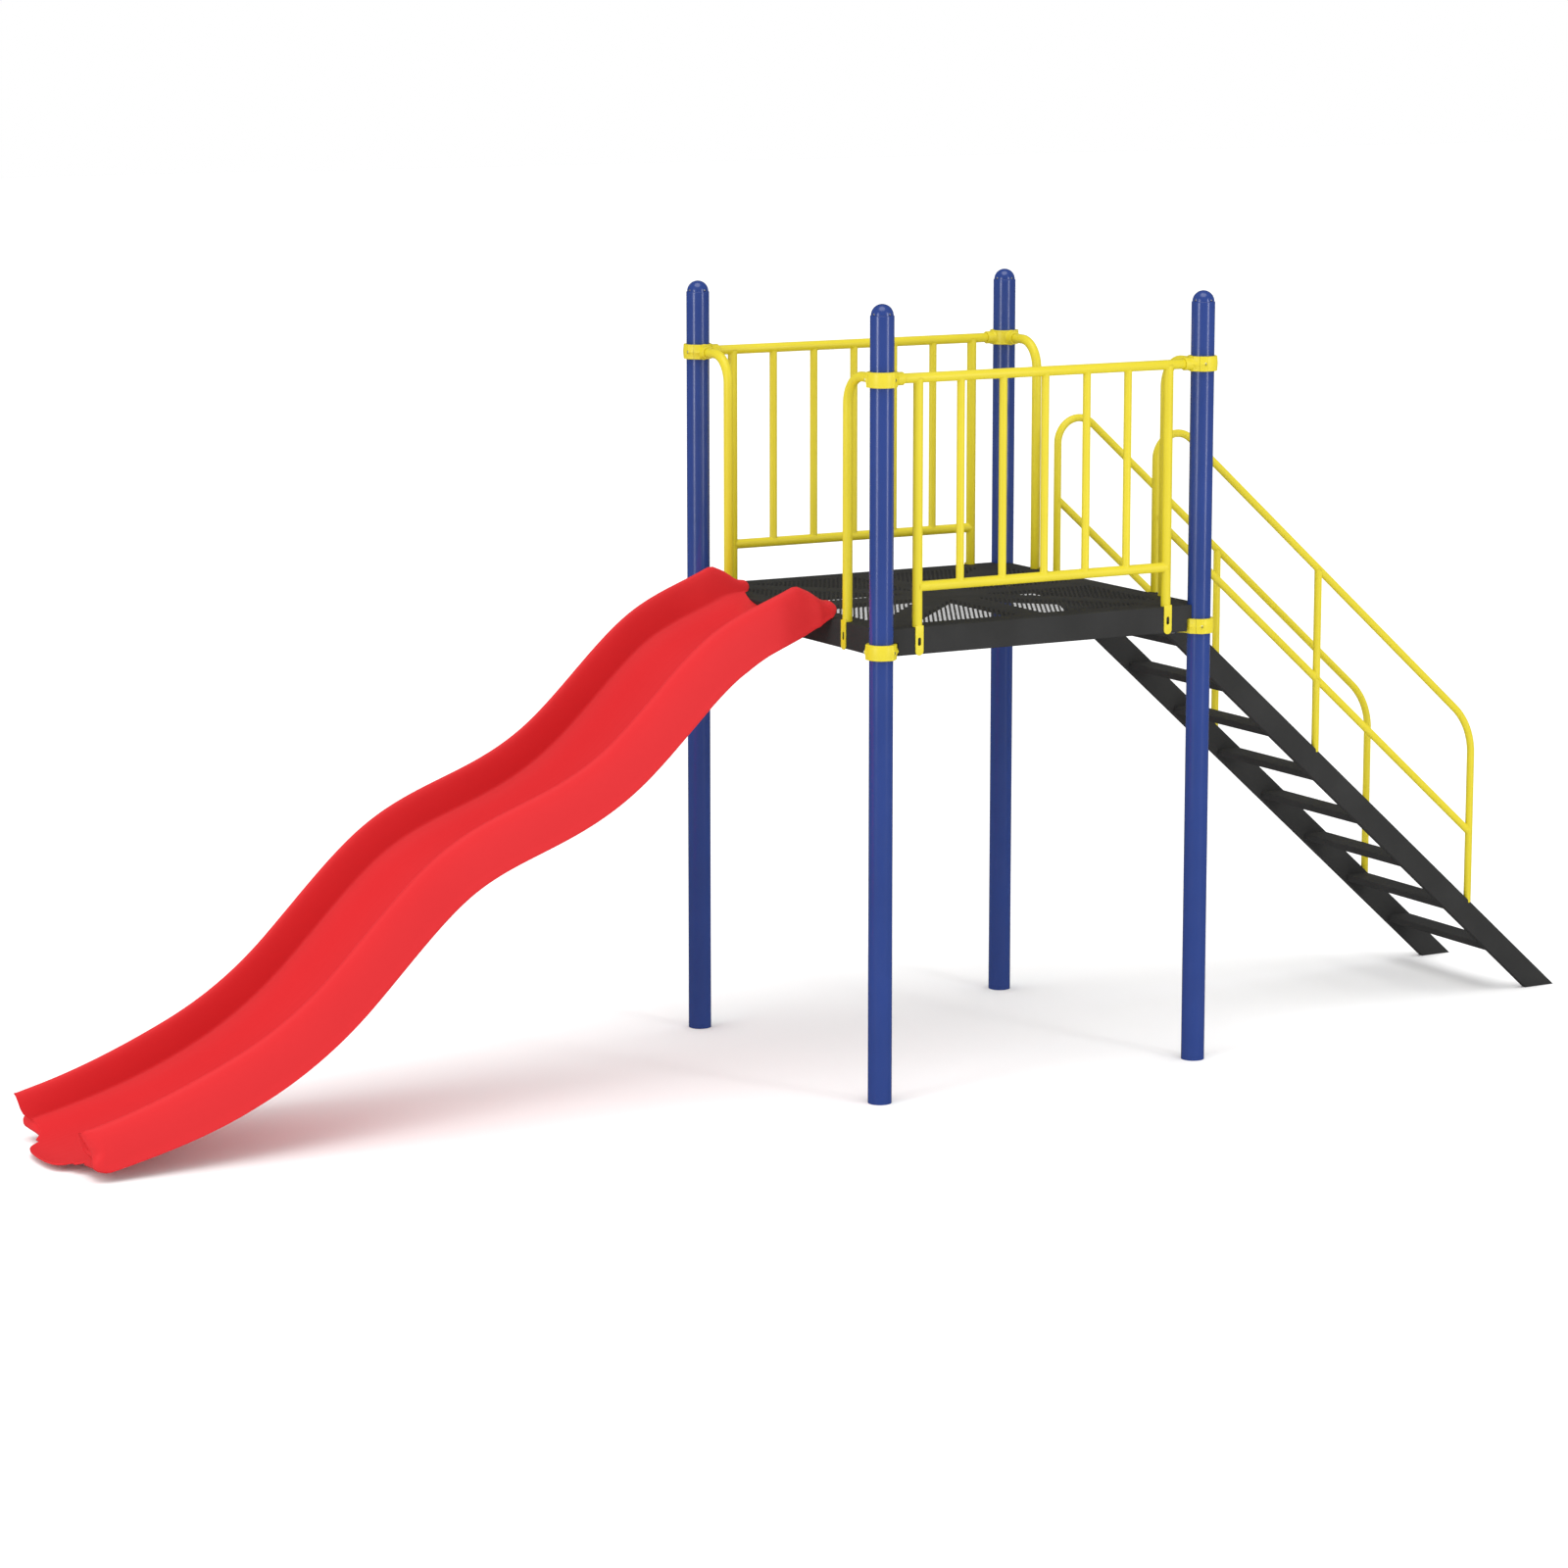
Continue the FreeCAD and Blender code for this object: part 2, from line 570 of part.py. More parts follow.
def make_hoop(corner):
    """Entrance hoop: a rail out of the clamp, a bend and a leg down to its tab."""
    side_x, side_y = corner
    x = side_x * HALF_GRID
    leg_y = side_y * HOOP_LEG_Y
    centre_y = side_y * (HOOP_LEG_Y + HOOP_BEND)
    tab = make_tab(Vector(0, leg_y, 0), ALONG_X * side_x)
    start = Vector(x, side_y * (HALF_GRID - POST_OD / 2 - CLAMP_BORE_GAP), TOP_CLAMP_Z)
    bend_start = Vector(x, centre_y, TOP_CLAMP_Z)
    reach = HOOP_BEND * math.sqrt(0.5)
    bend_middle = Vector(x, centre_y - side_y * reach, TOP_CLAMP_Z - HOOP_BEND + reach)
    bend_end = Vector(x, leg_y, TOP_CLAMP_Z - HOOP_BEND)
    foot, _ = post_axis(corner)
    arm = tube(start, bend_start, RAIL_OD, RAIL_WALL).cut(bar(foot, foot + UP * POST_TOP, POST_OD))
    corner_piece = bend(bend_start, bend_middle, bend_end, RAIL_OD, RAIL_WALL)
    leg = tube(Vector(x, leg_y, DECK_TOP), bend_end, RAIL_OD, RAIL_WALL).cut(tab)
    return [inner_piece(arm), corner_piece, leg, tab]


def make_tab_fixings():
    """Headless studs in the tab slots, flush with the tabs, and the nuts behind the deck's edge."""
    studs = []
    nuts = []
    inside = DECK_HALF - DECK_SHEET
    for centre, outward in stud_places():
        end = centre + outward * (DECK_HALF + TAB_THICKNESS / 2)
        start = centre + outward * (inside - NUT_DEPTH - STUD_TAIL)
        studs.append(bar(start, end, STUD_DIAMETER))
        nut = hexagon(centre + outward * inside, -outward, STUD_NUT, NUT_DEPTH)
        nuts.append(nut.cut(bar(start, end, STUD_DIAMETER)))
    return studs, nuts


# ---------------------------------------------------------------- stairs
def stringer_outline(inset):
    """Side outline of a stringer, or of the hollow inside it when an inset is given."""
    slant = inset * math.sqrt(1 + 1 / STAIR_SLOPE**2)
    toe = STAIR_TOE - slant
    heel = STAIR_HEEL + slant
    end = DECK_HALF + (STRINGER_END_PLATE if inset else 0)
    top = DECK_TOP - inset
    corner = toe - top / STAIR_SLOPE
    return [(toe, 0), (heel, 0), (end, (heel - end) * STAIR_SLOPE), (end, top), (corner, top)]


def stringer_bar(side):
    """Solid outer shape of a stringer."""
    solid = side_prism(stringer_outline(0), STRINGER_WIDTH / 2)
    solid.translate(Vector(0, side * (STRINGER_OUT - STRINGER_WIDTH / 2), 0))
    return solid


def make_stringer(side):
    """Rectangular tube stringer with a closed, drilled upper end."""
    hollow = side_prism(stringer_outline(STRINGER_WALL), STRINGER_WIDTH / 2 - STRINGER_WALL)
    hollow.translate(Vector(0, side * (STRINGER_OUT - STRINGER_WIDTH / 2), 0))
    stringer = stringer_bar(side).cut(hollow)
    for point in stair_bolt_points():
        stringer = stringer.cut(bar(point, point + ALONG_X * STRINGER_END_PLATE, BOLT + 2 * BOLT_GAP))
    return stringer


def make_tread(step):
    """Folded pan tread between the stringers."""
    top = DECK_TOP * (STEPS - step) / STEPS
    nose = STAIR_TOE - top / STAIR_SLOPE - TREAD_SET_BACK
    half = STRINGER_OUT - STRINGER_WIDTH
    pan = box((nose - TREAD_DEPTH, -half, top - TREAD_THICKNESS), (nose, half, top))
    hollow = box((nose - TREAD_DEPTH + TREAD_SHEET, -half + TREAD_SHEET, top - TREAD_THICKNESS),
                 (nose - TREAD_SHEET, half - TREAD_SHEET, top - TREAD_SHEET))
    return pan.cut(hollow)


# ---------------------------------------------------------------- handrails
def rail_height(x, rise):
    """Height at x of the axis of a sloping rail that would cross x = 0 at a height."""
    return rise - x * STAIR_SLOPE


def handrail_run(side):
    """Y of a handrail, the unit direction square to its sloping rails, and the centres of its two bends."""
    y = side * HANDRAIL_Y
    angle = math.atan(STAIR_SLOPE)
    normal = Vector(math.sin(angle), 0, math.cos(angle))
    upper_x = HANDRAIL_TOP_X + UPPER_LOOP
    upper_centre = Vector(upper_x, y, rail_height(upper_x, HANDRAIL_RISE) - UPPER_LOOP / math.cos(angle))
    lower_x = HANDRAIL_FOOT_X - LOWER_BEND
    lower_centre = Vector(lower_x, y, rail_height(lower_x, HANDRAIL_RISE) - LOWER_BEND / math.cos(angle))
    return y, normal, upper_centre, lower_centre


def make_handrail(side):
    """Bent handrail with a mid rail and a middle upright, standing on a stringer."""
    y, normal, upper_centre, lower_centre = handrail_run(side)
    stringer = stringer_bar(side)
    size = (HANDRAIL_OD, HANDRAIL_WALL)

    loop_start = upper_centre - ALONG_X * UPPER_LOOP
    loop_end = upper_centre + normal * UPPER_LOOP
    loop_middle = upper_centre + middle_of(-ALONG_X, normal) * UPPER_LOOP
    bend_start = lower_centre + normal * LOWER_BEND
    bend_end = lower_centre + ALONG_X * LOWER_BEND
    bend_middle = lower_centre + middle_of(normal, ALONG_X) * LOWER_BEND

    upper_low = Vector(HANDRAIL_TOP_X, y, DECK_TOP - HANDRAIL_OD)
    lower_low = Vector(HANDRAIL_FOOT_X, y, (STAIR_TOE - HANDRAIL_FOOT_X) * STAIR_SLOPE - 2 * HANDRAIL_OD)
    upper_leg = tube(upper_low, loop_start, *size)
    lower_leg = tube(lower_low, bend_end, *size)
    top_rail = tube(loop_end, bend_start, *size)
    leg_bars = [bar(upper_low, loop_start, HANDRAIL_OD), bar(lower_low, bend_end, HANDRAIL_OD)]

    mid_start = Vector(HANDRAIL_TOP_X, y, rail_height(HANDRAIL_TOP_X, MID_RAIL_RISE))
    mid_end = Vector(HANDRAIL_FOOT_X, y, rail_height(HANDRAIL_FOOT_X, MID_RAIL_RISE))
    mid_rail = inner_piece(cut_all(tube(mid_start, mid_end, *size), leg_bars))
    mid_bar = bar(mid_start, mid_end, HANDRAIL_OD)

    middle_x = (HANDRAIL_TOP_X + HANDRAIL_FOOT_X) / 2
    post_low = Vector(middle_x, y, (STAIR_TOE - middle_x) * STAIR_SLOPE - 2 * HANDRAIL_OD)
    post_high = Vector(middle_x, y, rail_height(middle_x, HANDRAIL_RISE))
    upright = tube(post_low, post_high, *size)
    upright = upright.cut(bar(loop_end, bend_start, HANDRAIL_OD)).cut(mid_bar).cut(stringer)
    upright_pieces = sorted(upright.Solids, key=lambda solid: solid.Volume)[-2:]

    legs = [inner_piece(upper_leg.cut(stringer)), inner_piece(lower_leg.cut(stringer))]
    bends = [
        bend(loop_start, loop_middle, loop_end, *size),
        bend(bend_start, bend_middle, bend_end, *size),
    ]
    return legs + bends + [top_rail, mid_rail] + upright_pieces


def middle_of(first, second):
    """Unit direction half way between two unit directions."""
    total = first + second
    return total.normalize()


def make_spigots(side):
    """Round plugs on a stringer's upper edge that the handrail's three uprights slip over."""
    stringer = stringer_bar(side)
    bore = HANDRAIL_OD - 2 * HANDRAIL_WALL - 2 * SOCKET_GAP
    spigots = []
    for x in (HANDRAIL_TOP_X, (HANDRAIL_TOP_X + HANDRAIL_FOOT_X) / 2, HANDRAIL_FOOT_X):
        foot = Vector(x, side * HANDRAIL_Y, min(DECK_TOP, (STAIR_TOE - x) * STAIR_SLOPE))
        plug = bar(foot - UP * SPIGOT_LENGTH / 2, foot + UP * SPIGOT_LENGTH, bore)
        spigots.append(inner_piece(plug.cut(stringer)))
    return spigots


# ---------------------------------------------------------------- slide
def crest_point(x):
    """Height and slope angle of the wall crest at x, by cubic pieces that keep the stated slopes."""
    for (x0, z0, a0), (x1, z1, a1) in zip(CREST, CREST[1:]):
        if x <= x1:
            break
    run = x1 - x0
    t = (x - x0) / run
    m0 = math.tan(math.radians(a0)) * run
    m1 = math.tan(math.radians(a1)) * run
    z = (2 * t**3 - 3 * t**2 + 1) * z0 + (t**3 - 2 * t**2 + t) * m0
    z += (3 * t**2 - 2 * t**3) * z1 + (t**3 - t**2) * m1
    dz = (6 * t**2 - 6 * t) * z0 + (3 * t**2 - 4 * t + 1) * m0
    dz += (6 * t - 6 * t**2) * z1 + (3 * t**2 - 2 * t) * m1
    return z, math.atan(dz / run)


def between(knots, x):
    """Value at x on the straight lines through (x, value) knots, level beyond both ends."""
    if x <= knots[0][0]:
        return knots[0][1]
    for (x0, value0), (x1, value1) in zip(knots, knots[1:]):
        if x <= x1:
            return value0 + (value1 - value0) * (x - x0) / (x1 - x0)
    return knots[-1][1]


def slide_section(x):
    """Closed cross-section of the chute, square to the crest line at x, from cubic curves."""
    z, angle = crest_point(x)
    fade = min(max((SHRINK_FROM - x) / (SHRINK_FROM - SHRINK_TO), 0), 1)
    depth = 1 - EXIT_SHRINK * fade * fade * (3 - 2 * fade)
    shell = SLIDE_SHELL
    under = shell / depth
    rim = between(FLANGE_DROP, x)
    bend = min(FLANGE_BEND, rim / 2)
    inner_crease = CREASE_HALF + shell
    inner_flange = FLANGE_HALF - shell
    inner_crest = CREST_HALF + 1

    def place(y, drop):
        return Vector(x + drop * depth * math.sin(angle), y, z - drop * depth * math.cos(angle))

    def curve(poles):
        piece = Part.BezierCurve()
        piece.setPoles([place(y, drop) for y, drop in poles])
        return piece.toShape()

    def mirrored(poles):
        return [(-y, drop) for y, drop in reversed(poles)]

    flange = [(FLANGE_HALF, rim), (FLANGE_HALF, bend), (CREST_HALF + CREST_ROUND, 0), (CREST_HALF, 0)]
    wall = [(CREST_HALF, 0), (CREASE_HALF + 0.5, 0), (CREASE_HALF, WALL_BEND), (CREASE_HALF, CREASE_DROP)]
    bed = [(CREASE_HALF, CREASE_DROP), BED_SHOULDER, (BED_FLAT, BED_DROP), (0, BED_DROP)]
    base = [(0, BED_DROP + under), (BED_FLAT, BED_DROP + under),
            (BED_SHOULDER[0] + 4, BED_SHOULDER[1] + under), (inner_crease, CREASE_DROP + 3)]
    back = [(inner_crease, CREASE_DROP + 3), (inner_crease, WALL_BEND + 3),
            (inner_crease + 1, under), (inner_crest, under)]
    inside = [(inner_crest, under), (inner_crest + CREST_ROUND - shell, under), (inner_flange, bend + 5),
              (inner_flange, rim)]
    outline = [curve(flange), curve(wall), curve(bed)]
    outline += [curve(mirrored(bed)), curve(mirrored(wall)), curve(mirrored(flange))]
    outline.append(Part.makeLine(place(-FLANGE_HALF, rim), place(-inner_flange, rim)))
    outline += [curve(mirrored(inside)), curve(mirrored(back)), curve(mirrored(base))]
    outline += [curve(base), curve(back), curve(inside)]
    outline.append(Part.makeLine(place(inner_flange, rim), place(FLANGE_HALF, rim)))
    return Part.Wire(outline)


def make_slide():
    """One-piece moulded chute with a tongue at the exit and a bolting flange under the entry."""
    first = CREST[0][0]
    last = CREST[-1][0]
    count = round((last - first) / SECTION_STEP)
    sections = [slide_section(first + (last - first) * step / count) for step in range(count + 1)]
    chute = Part.makeLoft(sections, True, False)
    wide = 2 * FLANGE_HALF

    below_deck = box((-DECK_HALF, -wide, 0), (HUGE, wide, DECK_TOP + SLIDE_DECK_GAP))
    above_deck = box((SLIDE_OVER_DECK, -wide, DECK_TOP), (HUGE, wide, HUGE))
    top_waste = side_prism([(TOP_CUT[0][0], HUGE)] + TOP_CUT + [(0, TOP_CUT[-1][1]), (0, HUGE)], wide)
    chute = chute.cut(below_deck).cut(above_deck).cut(top_waste)

    front = [(-HUGE, WALL_FRONT[0][1])] + WALL_FRONT + [(WALL_FRONT[-1][0], -BELOW), (-HUGE, -BELOW)]
    chute = chute.cut(side_prism(front, wide).cut(tongue_block()))

    flange = box((-DECK_HALF - SLIDE_FLANGE_THICKNESS, -SLIDE_FLANGE_HALF, SLIDE_FLANGE_BOTTOM),
                 (-DECK_HALF, SLIDE_FLANGE_HALF, SLIDE_FLANGE_TOP))
    chute = chute.fuse(flange)
    for point in slide_bolt_points():
        chute = chute.cut(bar(point - ALONG_X * 2 * BOLT, point + ALONG_X * BOLT, BOLT + 2 * BOLT_GAP))
    return chute


def tongue_block():
    """Upright block that keeps the rounded tongue of the bed in front of the walls."""
    corner_x = LIP_FRONT + LIP_CORNER
    block = box((corner_x, -LIP_HALF, -BELOW), (-HUGE / 2, LIP_HALF, TONGUE_HEIGHT))
    nose = box((LIP_FRONT, LIP_CORNER - LIP_HALF, -BELOW), (corner_x, LIP_HALF - LIP_CORNER, TONGUE_HEIGHT))
    block = block.fuse(nose)
    for side in (-1, 1):
        centre = Vector(corner_x, side * (LIP_HALF - LIP_CORNER), -BELOW)
        block = block.fuse(Part.makeCylinder(LIP_CORNER, TONGUE_HEIGHT + BELOW, centre))
    return block


# ---------------------------------------------------------------- deck bolts
def slide_bolt_points():
    """Where the slide's bolts cross the outer face of the deck's edge."""
    return [Vector(-DECK_HALF, y, SLIDE_BOLT_Z) for y in SLIDE_BOLT_YS]


def stair_bolt_points():
    """Where the stringers' bolts cross the outer face of the deck's edge."""
    y = STRINGER_OUT - STRINGER_WIDTH / 2
    return [Vector(DECK_HALF, side * y, z) for side in (-1, 1) for z in STAIR_BOLT_ZS]


def deck_bolt_seats():
    """Head seat, direction and grip of every deck bolt."""
    seats = []
    slide_grip = DECK_SHEET + SLIDE_FLANGE_THICKNESS
    stair_grip = DECK_SHEET + STRINGER_END_PLATE
    for point in slide_bolt_points():
        seats.append((point + ALONG_X * DECK_SHEET, -ALONG_X, slide_grip))
    for point in stair_bolt_points():
        seats.append((point - ALONG_X * DECK_SHEET, ALONG_X, stair_grip))
    for corner in CORNERS.values():
        foot, inward = post_axis(corner)
        bottom = DECK_CLAMP_Z - CLAMP_HEIGHT / 2
        grip = DECK_TOP - DECK_DEPTH + SEAT_THICKNESS - bottom
        seats.append((foot + inward * SEAT_BOLT_REACH + UP * bottom, UP, grip))
    return seats


def make_deck_bolts():
    """Hexagon bolts and their nuts."""
    bolts = []
    nuts = []
    for seat, direction, grip in deck_bolt_seats():
        head = hexagon(seat, -direction, BOLT_HEAD, BOLT_HEAD_DEPTH)
        shank = bar(seat, seat + direction * BOLT_LENGTH, BOLT)
        bolts.append(shank.fuse(head).removeSplitter())
        nut = hexagon(seat + direction * grip, direction, BOLT_HEAD, NUT_DEPTH)
        nuts.append(nut.cut(shank))
    return bolts, nuts


def main():
    """Build every sub-part and write it to its own STEP file."""
    os.makedirs("parts", exist_ok=True)
    foot_plates = []
    rivets = []
    screws = []
    seats = []
    for name, corner in CORNERS.items():
        foot_plates.append(make_foot_plate(corner))
        export(f"post_{name}", [make_post(corner)])
        export(f"cap_{name}", [make_cap(corner)])
        rivets += make_cap_rivets(corner)
        for level, height_z, with_sockets in (("top", TOP_CLAMP_Z, True), ("deck", DECK_CLAMP_Z, False)):
            inner, outer = make_clamp(corner, height_z, with_sockets)
            export(f"{level}_clamp_inner_{name}", [inner])
            export(f"{level}_clamp_outer_{name}", [outer])
            screws += make_clamp_screws(corner, height_z)
        export(f"hoop_{name}", make_hoop(corner))
        seats.append(make_deck_seat(corner))
    export("foot_plates", foot_plates)
    export("cap_rivets", rivets)
    export("clamp_screws", screws)
    export("deck_seats", seats)

    export("deck_sheet", [make_deck_sheet()])
    export("deck_ribs", make_deck_ribs())
    export("deck_edge_slide", [make_deck_edge(-ALONG_X, slide_bolt_points())])
    export("deck_edge_stair", [make_deck_edge(ALONG_X, stair_bolt_points())])
    export("deck_edge_left", [make_deck_edge(-ALONG_Y, [])])
    export("deck_edge_right", [make_deck_edge(ALONG_Y, [])])

    spigots = []
    for name, side in (("left", -1), ("right", 1)):
        export(f"guard_{name}", make_guard(side))
        export(f"stringer_{name}", [make_stringer(side)])
        export(f"handrail_{name}", make_handrail(side))
        spigots += make_spigots(side)
    export("handrail_spigots", spigots)
    for step in range(1, STEPS):
        export(f"tread_{step}", [make_tread(step)])

    studs, stud_nuts = make_tab_fixings()
    bolts, bolt_nuts = make_deck_bolts()
    export("tab_studs", studs)
    export("tab_nuts", stud_nuts)
    export("deck_bolts", bolts)
    export("deck_nuts", bolt_nuts)
    export("slide", [make_slide()])


main()
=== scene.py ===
"""Looks of a free-standing playground slide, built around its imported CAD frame.

Shapes are worked out in millimetres in the frame's own axes: the origin on the ground at the middle of
the four posts, +Z up, +X to the stairs, -X down the slide. Meshes are written in metres.
"""

import logging
import math
from dataclasses import dataclass
from enum import Enum
from typing import Iterable

import bmesh
import bpy
import numpy as np
from numpy.typing import NDArray
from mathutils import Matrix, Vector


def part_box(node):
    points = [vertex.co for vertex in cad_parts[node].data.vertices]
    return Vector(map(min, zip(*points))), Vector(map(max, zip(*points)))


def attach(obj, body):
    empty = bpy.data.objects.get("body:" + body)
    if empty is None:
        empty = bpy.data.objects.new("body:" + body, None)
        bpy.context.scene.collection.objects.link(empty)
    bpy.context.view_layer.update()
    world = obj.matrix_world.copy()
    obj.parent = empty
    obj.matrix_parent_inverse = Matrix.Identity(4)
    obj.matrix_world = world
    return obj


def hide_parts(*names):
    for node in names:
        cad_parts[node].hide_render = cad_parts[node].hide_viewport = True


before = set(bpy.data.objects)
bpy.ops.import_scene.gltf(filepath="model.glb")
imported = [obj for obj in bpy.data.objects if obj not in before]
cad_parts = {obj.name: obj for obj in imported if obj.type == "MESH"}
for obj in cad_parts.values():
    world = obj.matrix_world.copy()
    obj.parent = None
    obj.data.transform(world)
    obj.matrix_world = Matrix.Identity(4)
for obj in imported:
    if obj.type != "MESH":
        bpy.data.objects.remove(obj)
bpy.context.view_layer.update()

Points = NDArray[np.float64]
Triple = tuple[float, float, float]
EVEN: Triple = (1.0, 1.0, 1.0)
MM = 0.001
TURN = 2 * math.pi
UP = np.array([0.0, 0.0, 1.0])
ALONG_X = np.array([1.0, 0.0, 0.0])
ALONG_Y = np.array([0.0, 1.0, 0.0])
log = logging.getLogger("playground_slide")


class Slot(Enum):
    """Material slots of the record."""

    POST = "post_blue"
    FRAME = "frame_yellow"
    DECK = "deck_black"
    SLIDE = "slide_red"
    STEEL = "fastener_steel"
    BLACK = "fastener_black"


class Corner(Enum):
    """Corners of the tower, with the signs of their X and Y."""

    SLIDE_LEFT = (-1, -1)
    SLIDE_RIGHT = (-1, 1)
    STAIR_LEFT = (1, -1)
    STAIR_RIGHT = (1, 1)

    @property
    def node(self) -> str:
        """Corner name as the CAD nodes end with it.

        Returns:
            The name in lower case.
        """
        return self.name.lower()

    @property
    def inward(self) -> Points:
        """Level direction from the corner to the middle of the deck.

        Returns:
            The unit vector.
        """
        side_x, side_y = self.value
        return np.array([-side_x, -side_y, 0.0]) / math.sqrt(2)


class Side(Enum):
    """Left and right as somebody sees them who sits at the top of the slide, with the sign of Y."""

    LEFT = -1
    RIGHT = 1

    @property
    def node(self) -> str:
        """Side name as the CAD nodes end with it.

        Returns:
            The name in lower case.
        """
        return self.name.lower()


def node_box(node: str) -> tuple[Points, Points]:
    """Box round a CAD node, in millimetres.

    Args:
        node: Node name.
    Returns:
        Its lowest and highest corners.
    """
    low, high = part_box(node)
    return np.array(low) / MM, np.array(high) / MM


def post_axis(corner: Corner) -> Points:
    """Foot of a post's axis, from the middle of its CAD node's box.

    Args:
        corner: Corner that the post stands at.
    Returns:
        The point on the ground.
    """
    low, high = node_box(f"post_{corner.node}")
    return np.array([(low[0] + high[0]) / 2, (low[1] + high[1]) / 2, 0.0])


# ---------------------------------------------------------------- finishes
def shader_material(name: str) -> tuple[bpy.types.Material, bpy.types.NodeTree, bpy.types.Node]:
    """New node material with an empty Principled shader.

    Args:
        name: Material name.
    Returns:
        The material, its node tree and its Principled node.
    """
    material = bpy.data.materials.new(name)
    material.use_nodes = True
    return material, material.node_tree, material.node_tree.nodes["Principled BSDF"]


def object_noise(tree: bpy.types.NodeTree, scale: float, detail: float,
                 stretch: Triple = EVEN) -> bpy.types.Node:
    """Noise on Object coordinates.

    Args:
        tree: Node tree to add to.
        scale: Noise scale per metre.
        detail: Octaves of finer noise.
        stretch: Scale of each axis before the noise, for streaks.
    Returns:
        The noise node.
    """
    coordinates = tree.nodes.new("ShaderNodeTexCoord")
    mapping = tree.nodes.new("ShaderNodeMapping")
    mapping.inputs["Scale"].default_value = stretch
    noise = tree.nodes.new("ShaderNodeTexNoise")
    noise.inputs["Scale"].default_value = scale
    noise.inputs["Detail"].default_value = detail
    tree.links.new(coordinates.outputs["Object"], mapping.inputs["Vector"])
    tree.links.new(mapping.outputs["Vector"], noise.inputs["Vector"])
    return noise


def ramp(tree: bpy.types.NodeTree, source: bpy.types.NodeSocket,
         *stops: tuple[float, Triple]) -> bpy.types.Node:
    """Colour ramp on a value.

    Args:
        tree: Node tree to add to.
        source: Value that the ramp reads.
        stops: The two stops, each a position and a colour.
    Returns:
        The ramp node.
    """
    node = tree.nodes.new("ShaderNodeValToRGB")
    for element, (position, colour) in zip(node.color_ramp.elements, stops):
        element.position = position
        element.color = (*colour, 1.0)
    tree.links.new(source, node.inputs["Fac"])
    return node


def value_range(tree: bpy.types.NodeTree, source: bpy.types.NodeSocket,
                low: float, high: float) -> bpy.types.Node:
    """Maps a 0 to 1 value to another range.

    Args:
        tree: Node tree to add to.
        source: Value to map.
        low: Result at 0.
        high: Result at 1.
    Returns:
        The range node.
    """
    node = tree.nodes.new("ShaderNodeMapRange")
    node.inputs["To Min"].default_value = low
    node.inputs["To Max"].default_value = high
    tree.links.new(source, node.inputs["Value"])
    return node


def rough_and_bumped(tree: bpy.types.NodeTree, shader: bpy.types.Node, patches: bpy.types.Node,
                     gloss: tuple[float, float], *layers: tuple[bpy.types.Node, float, float]) -> None:
    """Drives a shader's roughness from one noise and its normal from a chain of bumps.

    Args:
        tree: Node tree to add to.
        shader: Principled node.
        patches: Noise that the roughness follows.
        gloss: Roughness where that noise is 0 and where it is 1.
        layers: Bumps from the coarsest, each a noise, a strength and a distance in metres.
    """
    rough = value_range(tree, patches.outputs["Fac"], *gloss)
    tree.links.new(rough.outputs["Result"], shader.inputs["Roughness"])
    target = shader.inputs["Normal"]
    for noise, strength, distance in reversed(layers):
        bump = tree.nodes.new("ShaderNodeBump")
        bump.inputs["Strength"].default_value = strength
        bump.inputs["Distance"].default_value = distance
        tree.links.new(noise.outputs["Fac"], bump.inputs["Height"])
        tree.links.new(bump.outputs["Normal"], target)
        target = bump.inputs["Normal"]


@dataclass(frozen=True)
class PowderCoat:
    """Baked powder coat: orange-peel skin, a slight cloudiness and a few dull patches in the gloss."""

    name: str
    colour: Triple
    shade: Triple
    roughness: float
    specular: float
    peel: float = 0.12

    def make(self) -> bpy.types.Material:
        """Builds the node material.

        Returns:
            The material.
        """
        material, tree, shader = shader_material(self.name)
        cloud = object_noise(tree, 3.5, 3.0)
        colour = ramp(tree, cloud.outputs["Fac"], (0.3, self.shade), (0.7, self.colour))
        tree.links.new(colour.outputs["Color"], shader.inputs["Base Color"])
        dull = object_noise(tree, 24.0, 4.0, (1, 1, 0.4))
        skin = object_noise(tree, 420.0, 2.0)
        wave = object_noise(tree, 60.0, 1.0)
        gloss = (self.roughness - 0.05, self.roughness + 0.07)
        bumps = ((wave, self.peel * 0.5, 0.0012), (skin, self.peel, 0.0004))
        rough_and_bumped(tree, shader, dull, gloss, *bumps)
        shader.inputs["Specular IOR Level"].default_value = self.specular
        return material


@dataclass(frozen=True)
class MouldedPlastic:
    """Rotationally moulded plastic: pebbled satin skin, faint clouds and fine rubbing marks down the run."""

    name: str
    colour: Triple
    shade: Triple
    roughness: float
    specular: float

    def make(self) -> bpy.types.Material:
        """Builds the node material.

        Returns:
            The material.
        """
        material, tree, shader = shader_material(self.name)
        cloud = object_noise(tree, 1.7, 4.0)
        fleck = object_noise(tree, 900.0, 1.0)
        mix = tree.nodes.new("ShaderNodeMath")
        mix.operation = "MULTIPLY_ADD"
        mix.inputs[1].default_value = 0.12
        tree.links.new(fleck.outputs["Fac"], mix.inputs[0])
        tree.links.new(cloud.outputs["Fac"], mix.inputs[2])
        colour = ramp(tree, mix.outputs["Value"], (0.35, self.shade), (0.72, self.colour))
        tree.links.new(colour.outputs["Color"], shader.inputs["Base Color"])
        marks = object_noise(tree, 90.0, 3.0, (0.03, 1, 0.12))
        pebble = object_noise(tree, 330.0, 3.0)
        swell = object_noise(tree, 9.0, 1.0)
        gloss = (self.roughness - 0.07, self.roughness + 0.08)
        rough_and_bumped(tree, shader, marks, gloss, (swell, 0.05, 0.004), (pebble, 0.1, 0.0004))
        shader.inputs["Specular IOR Level"].default_value = self.specular
        return material


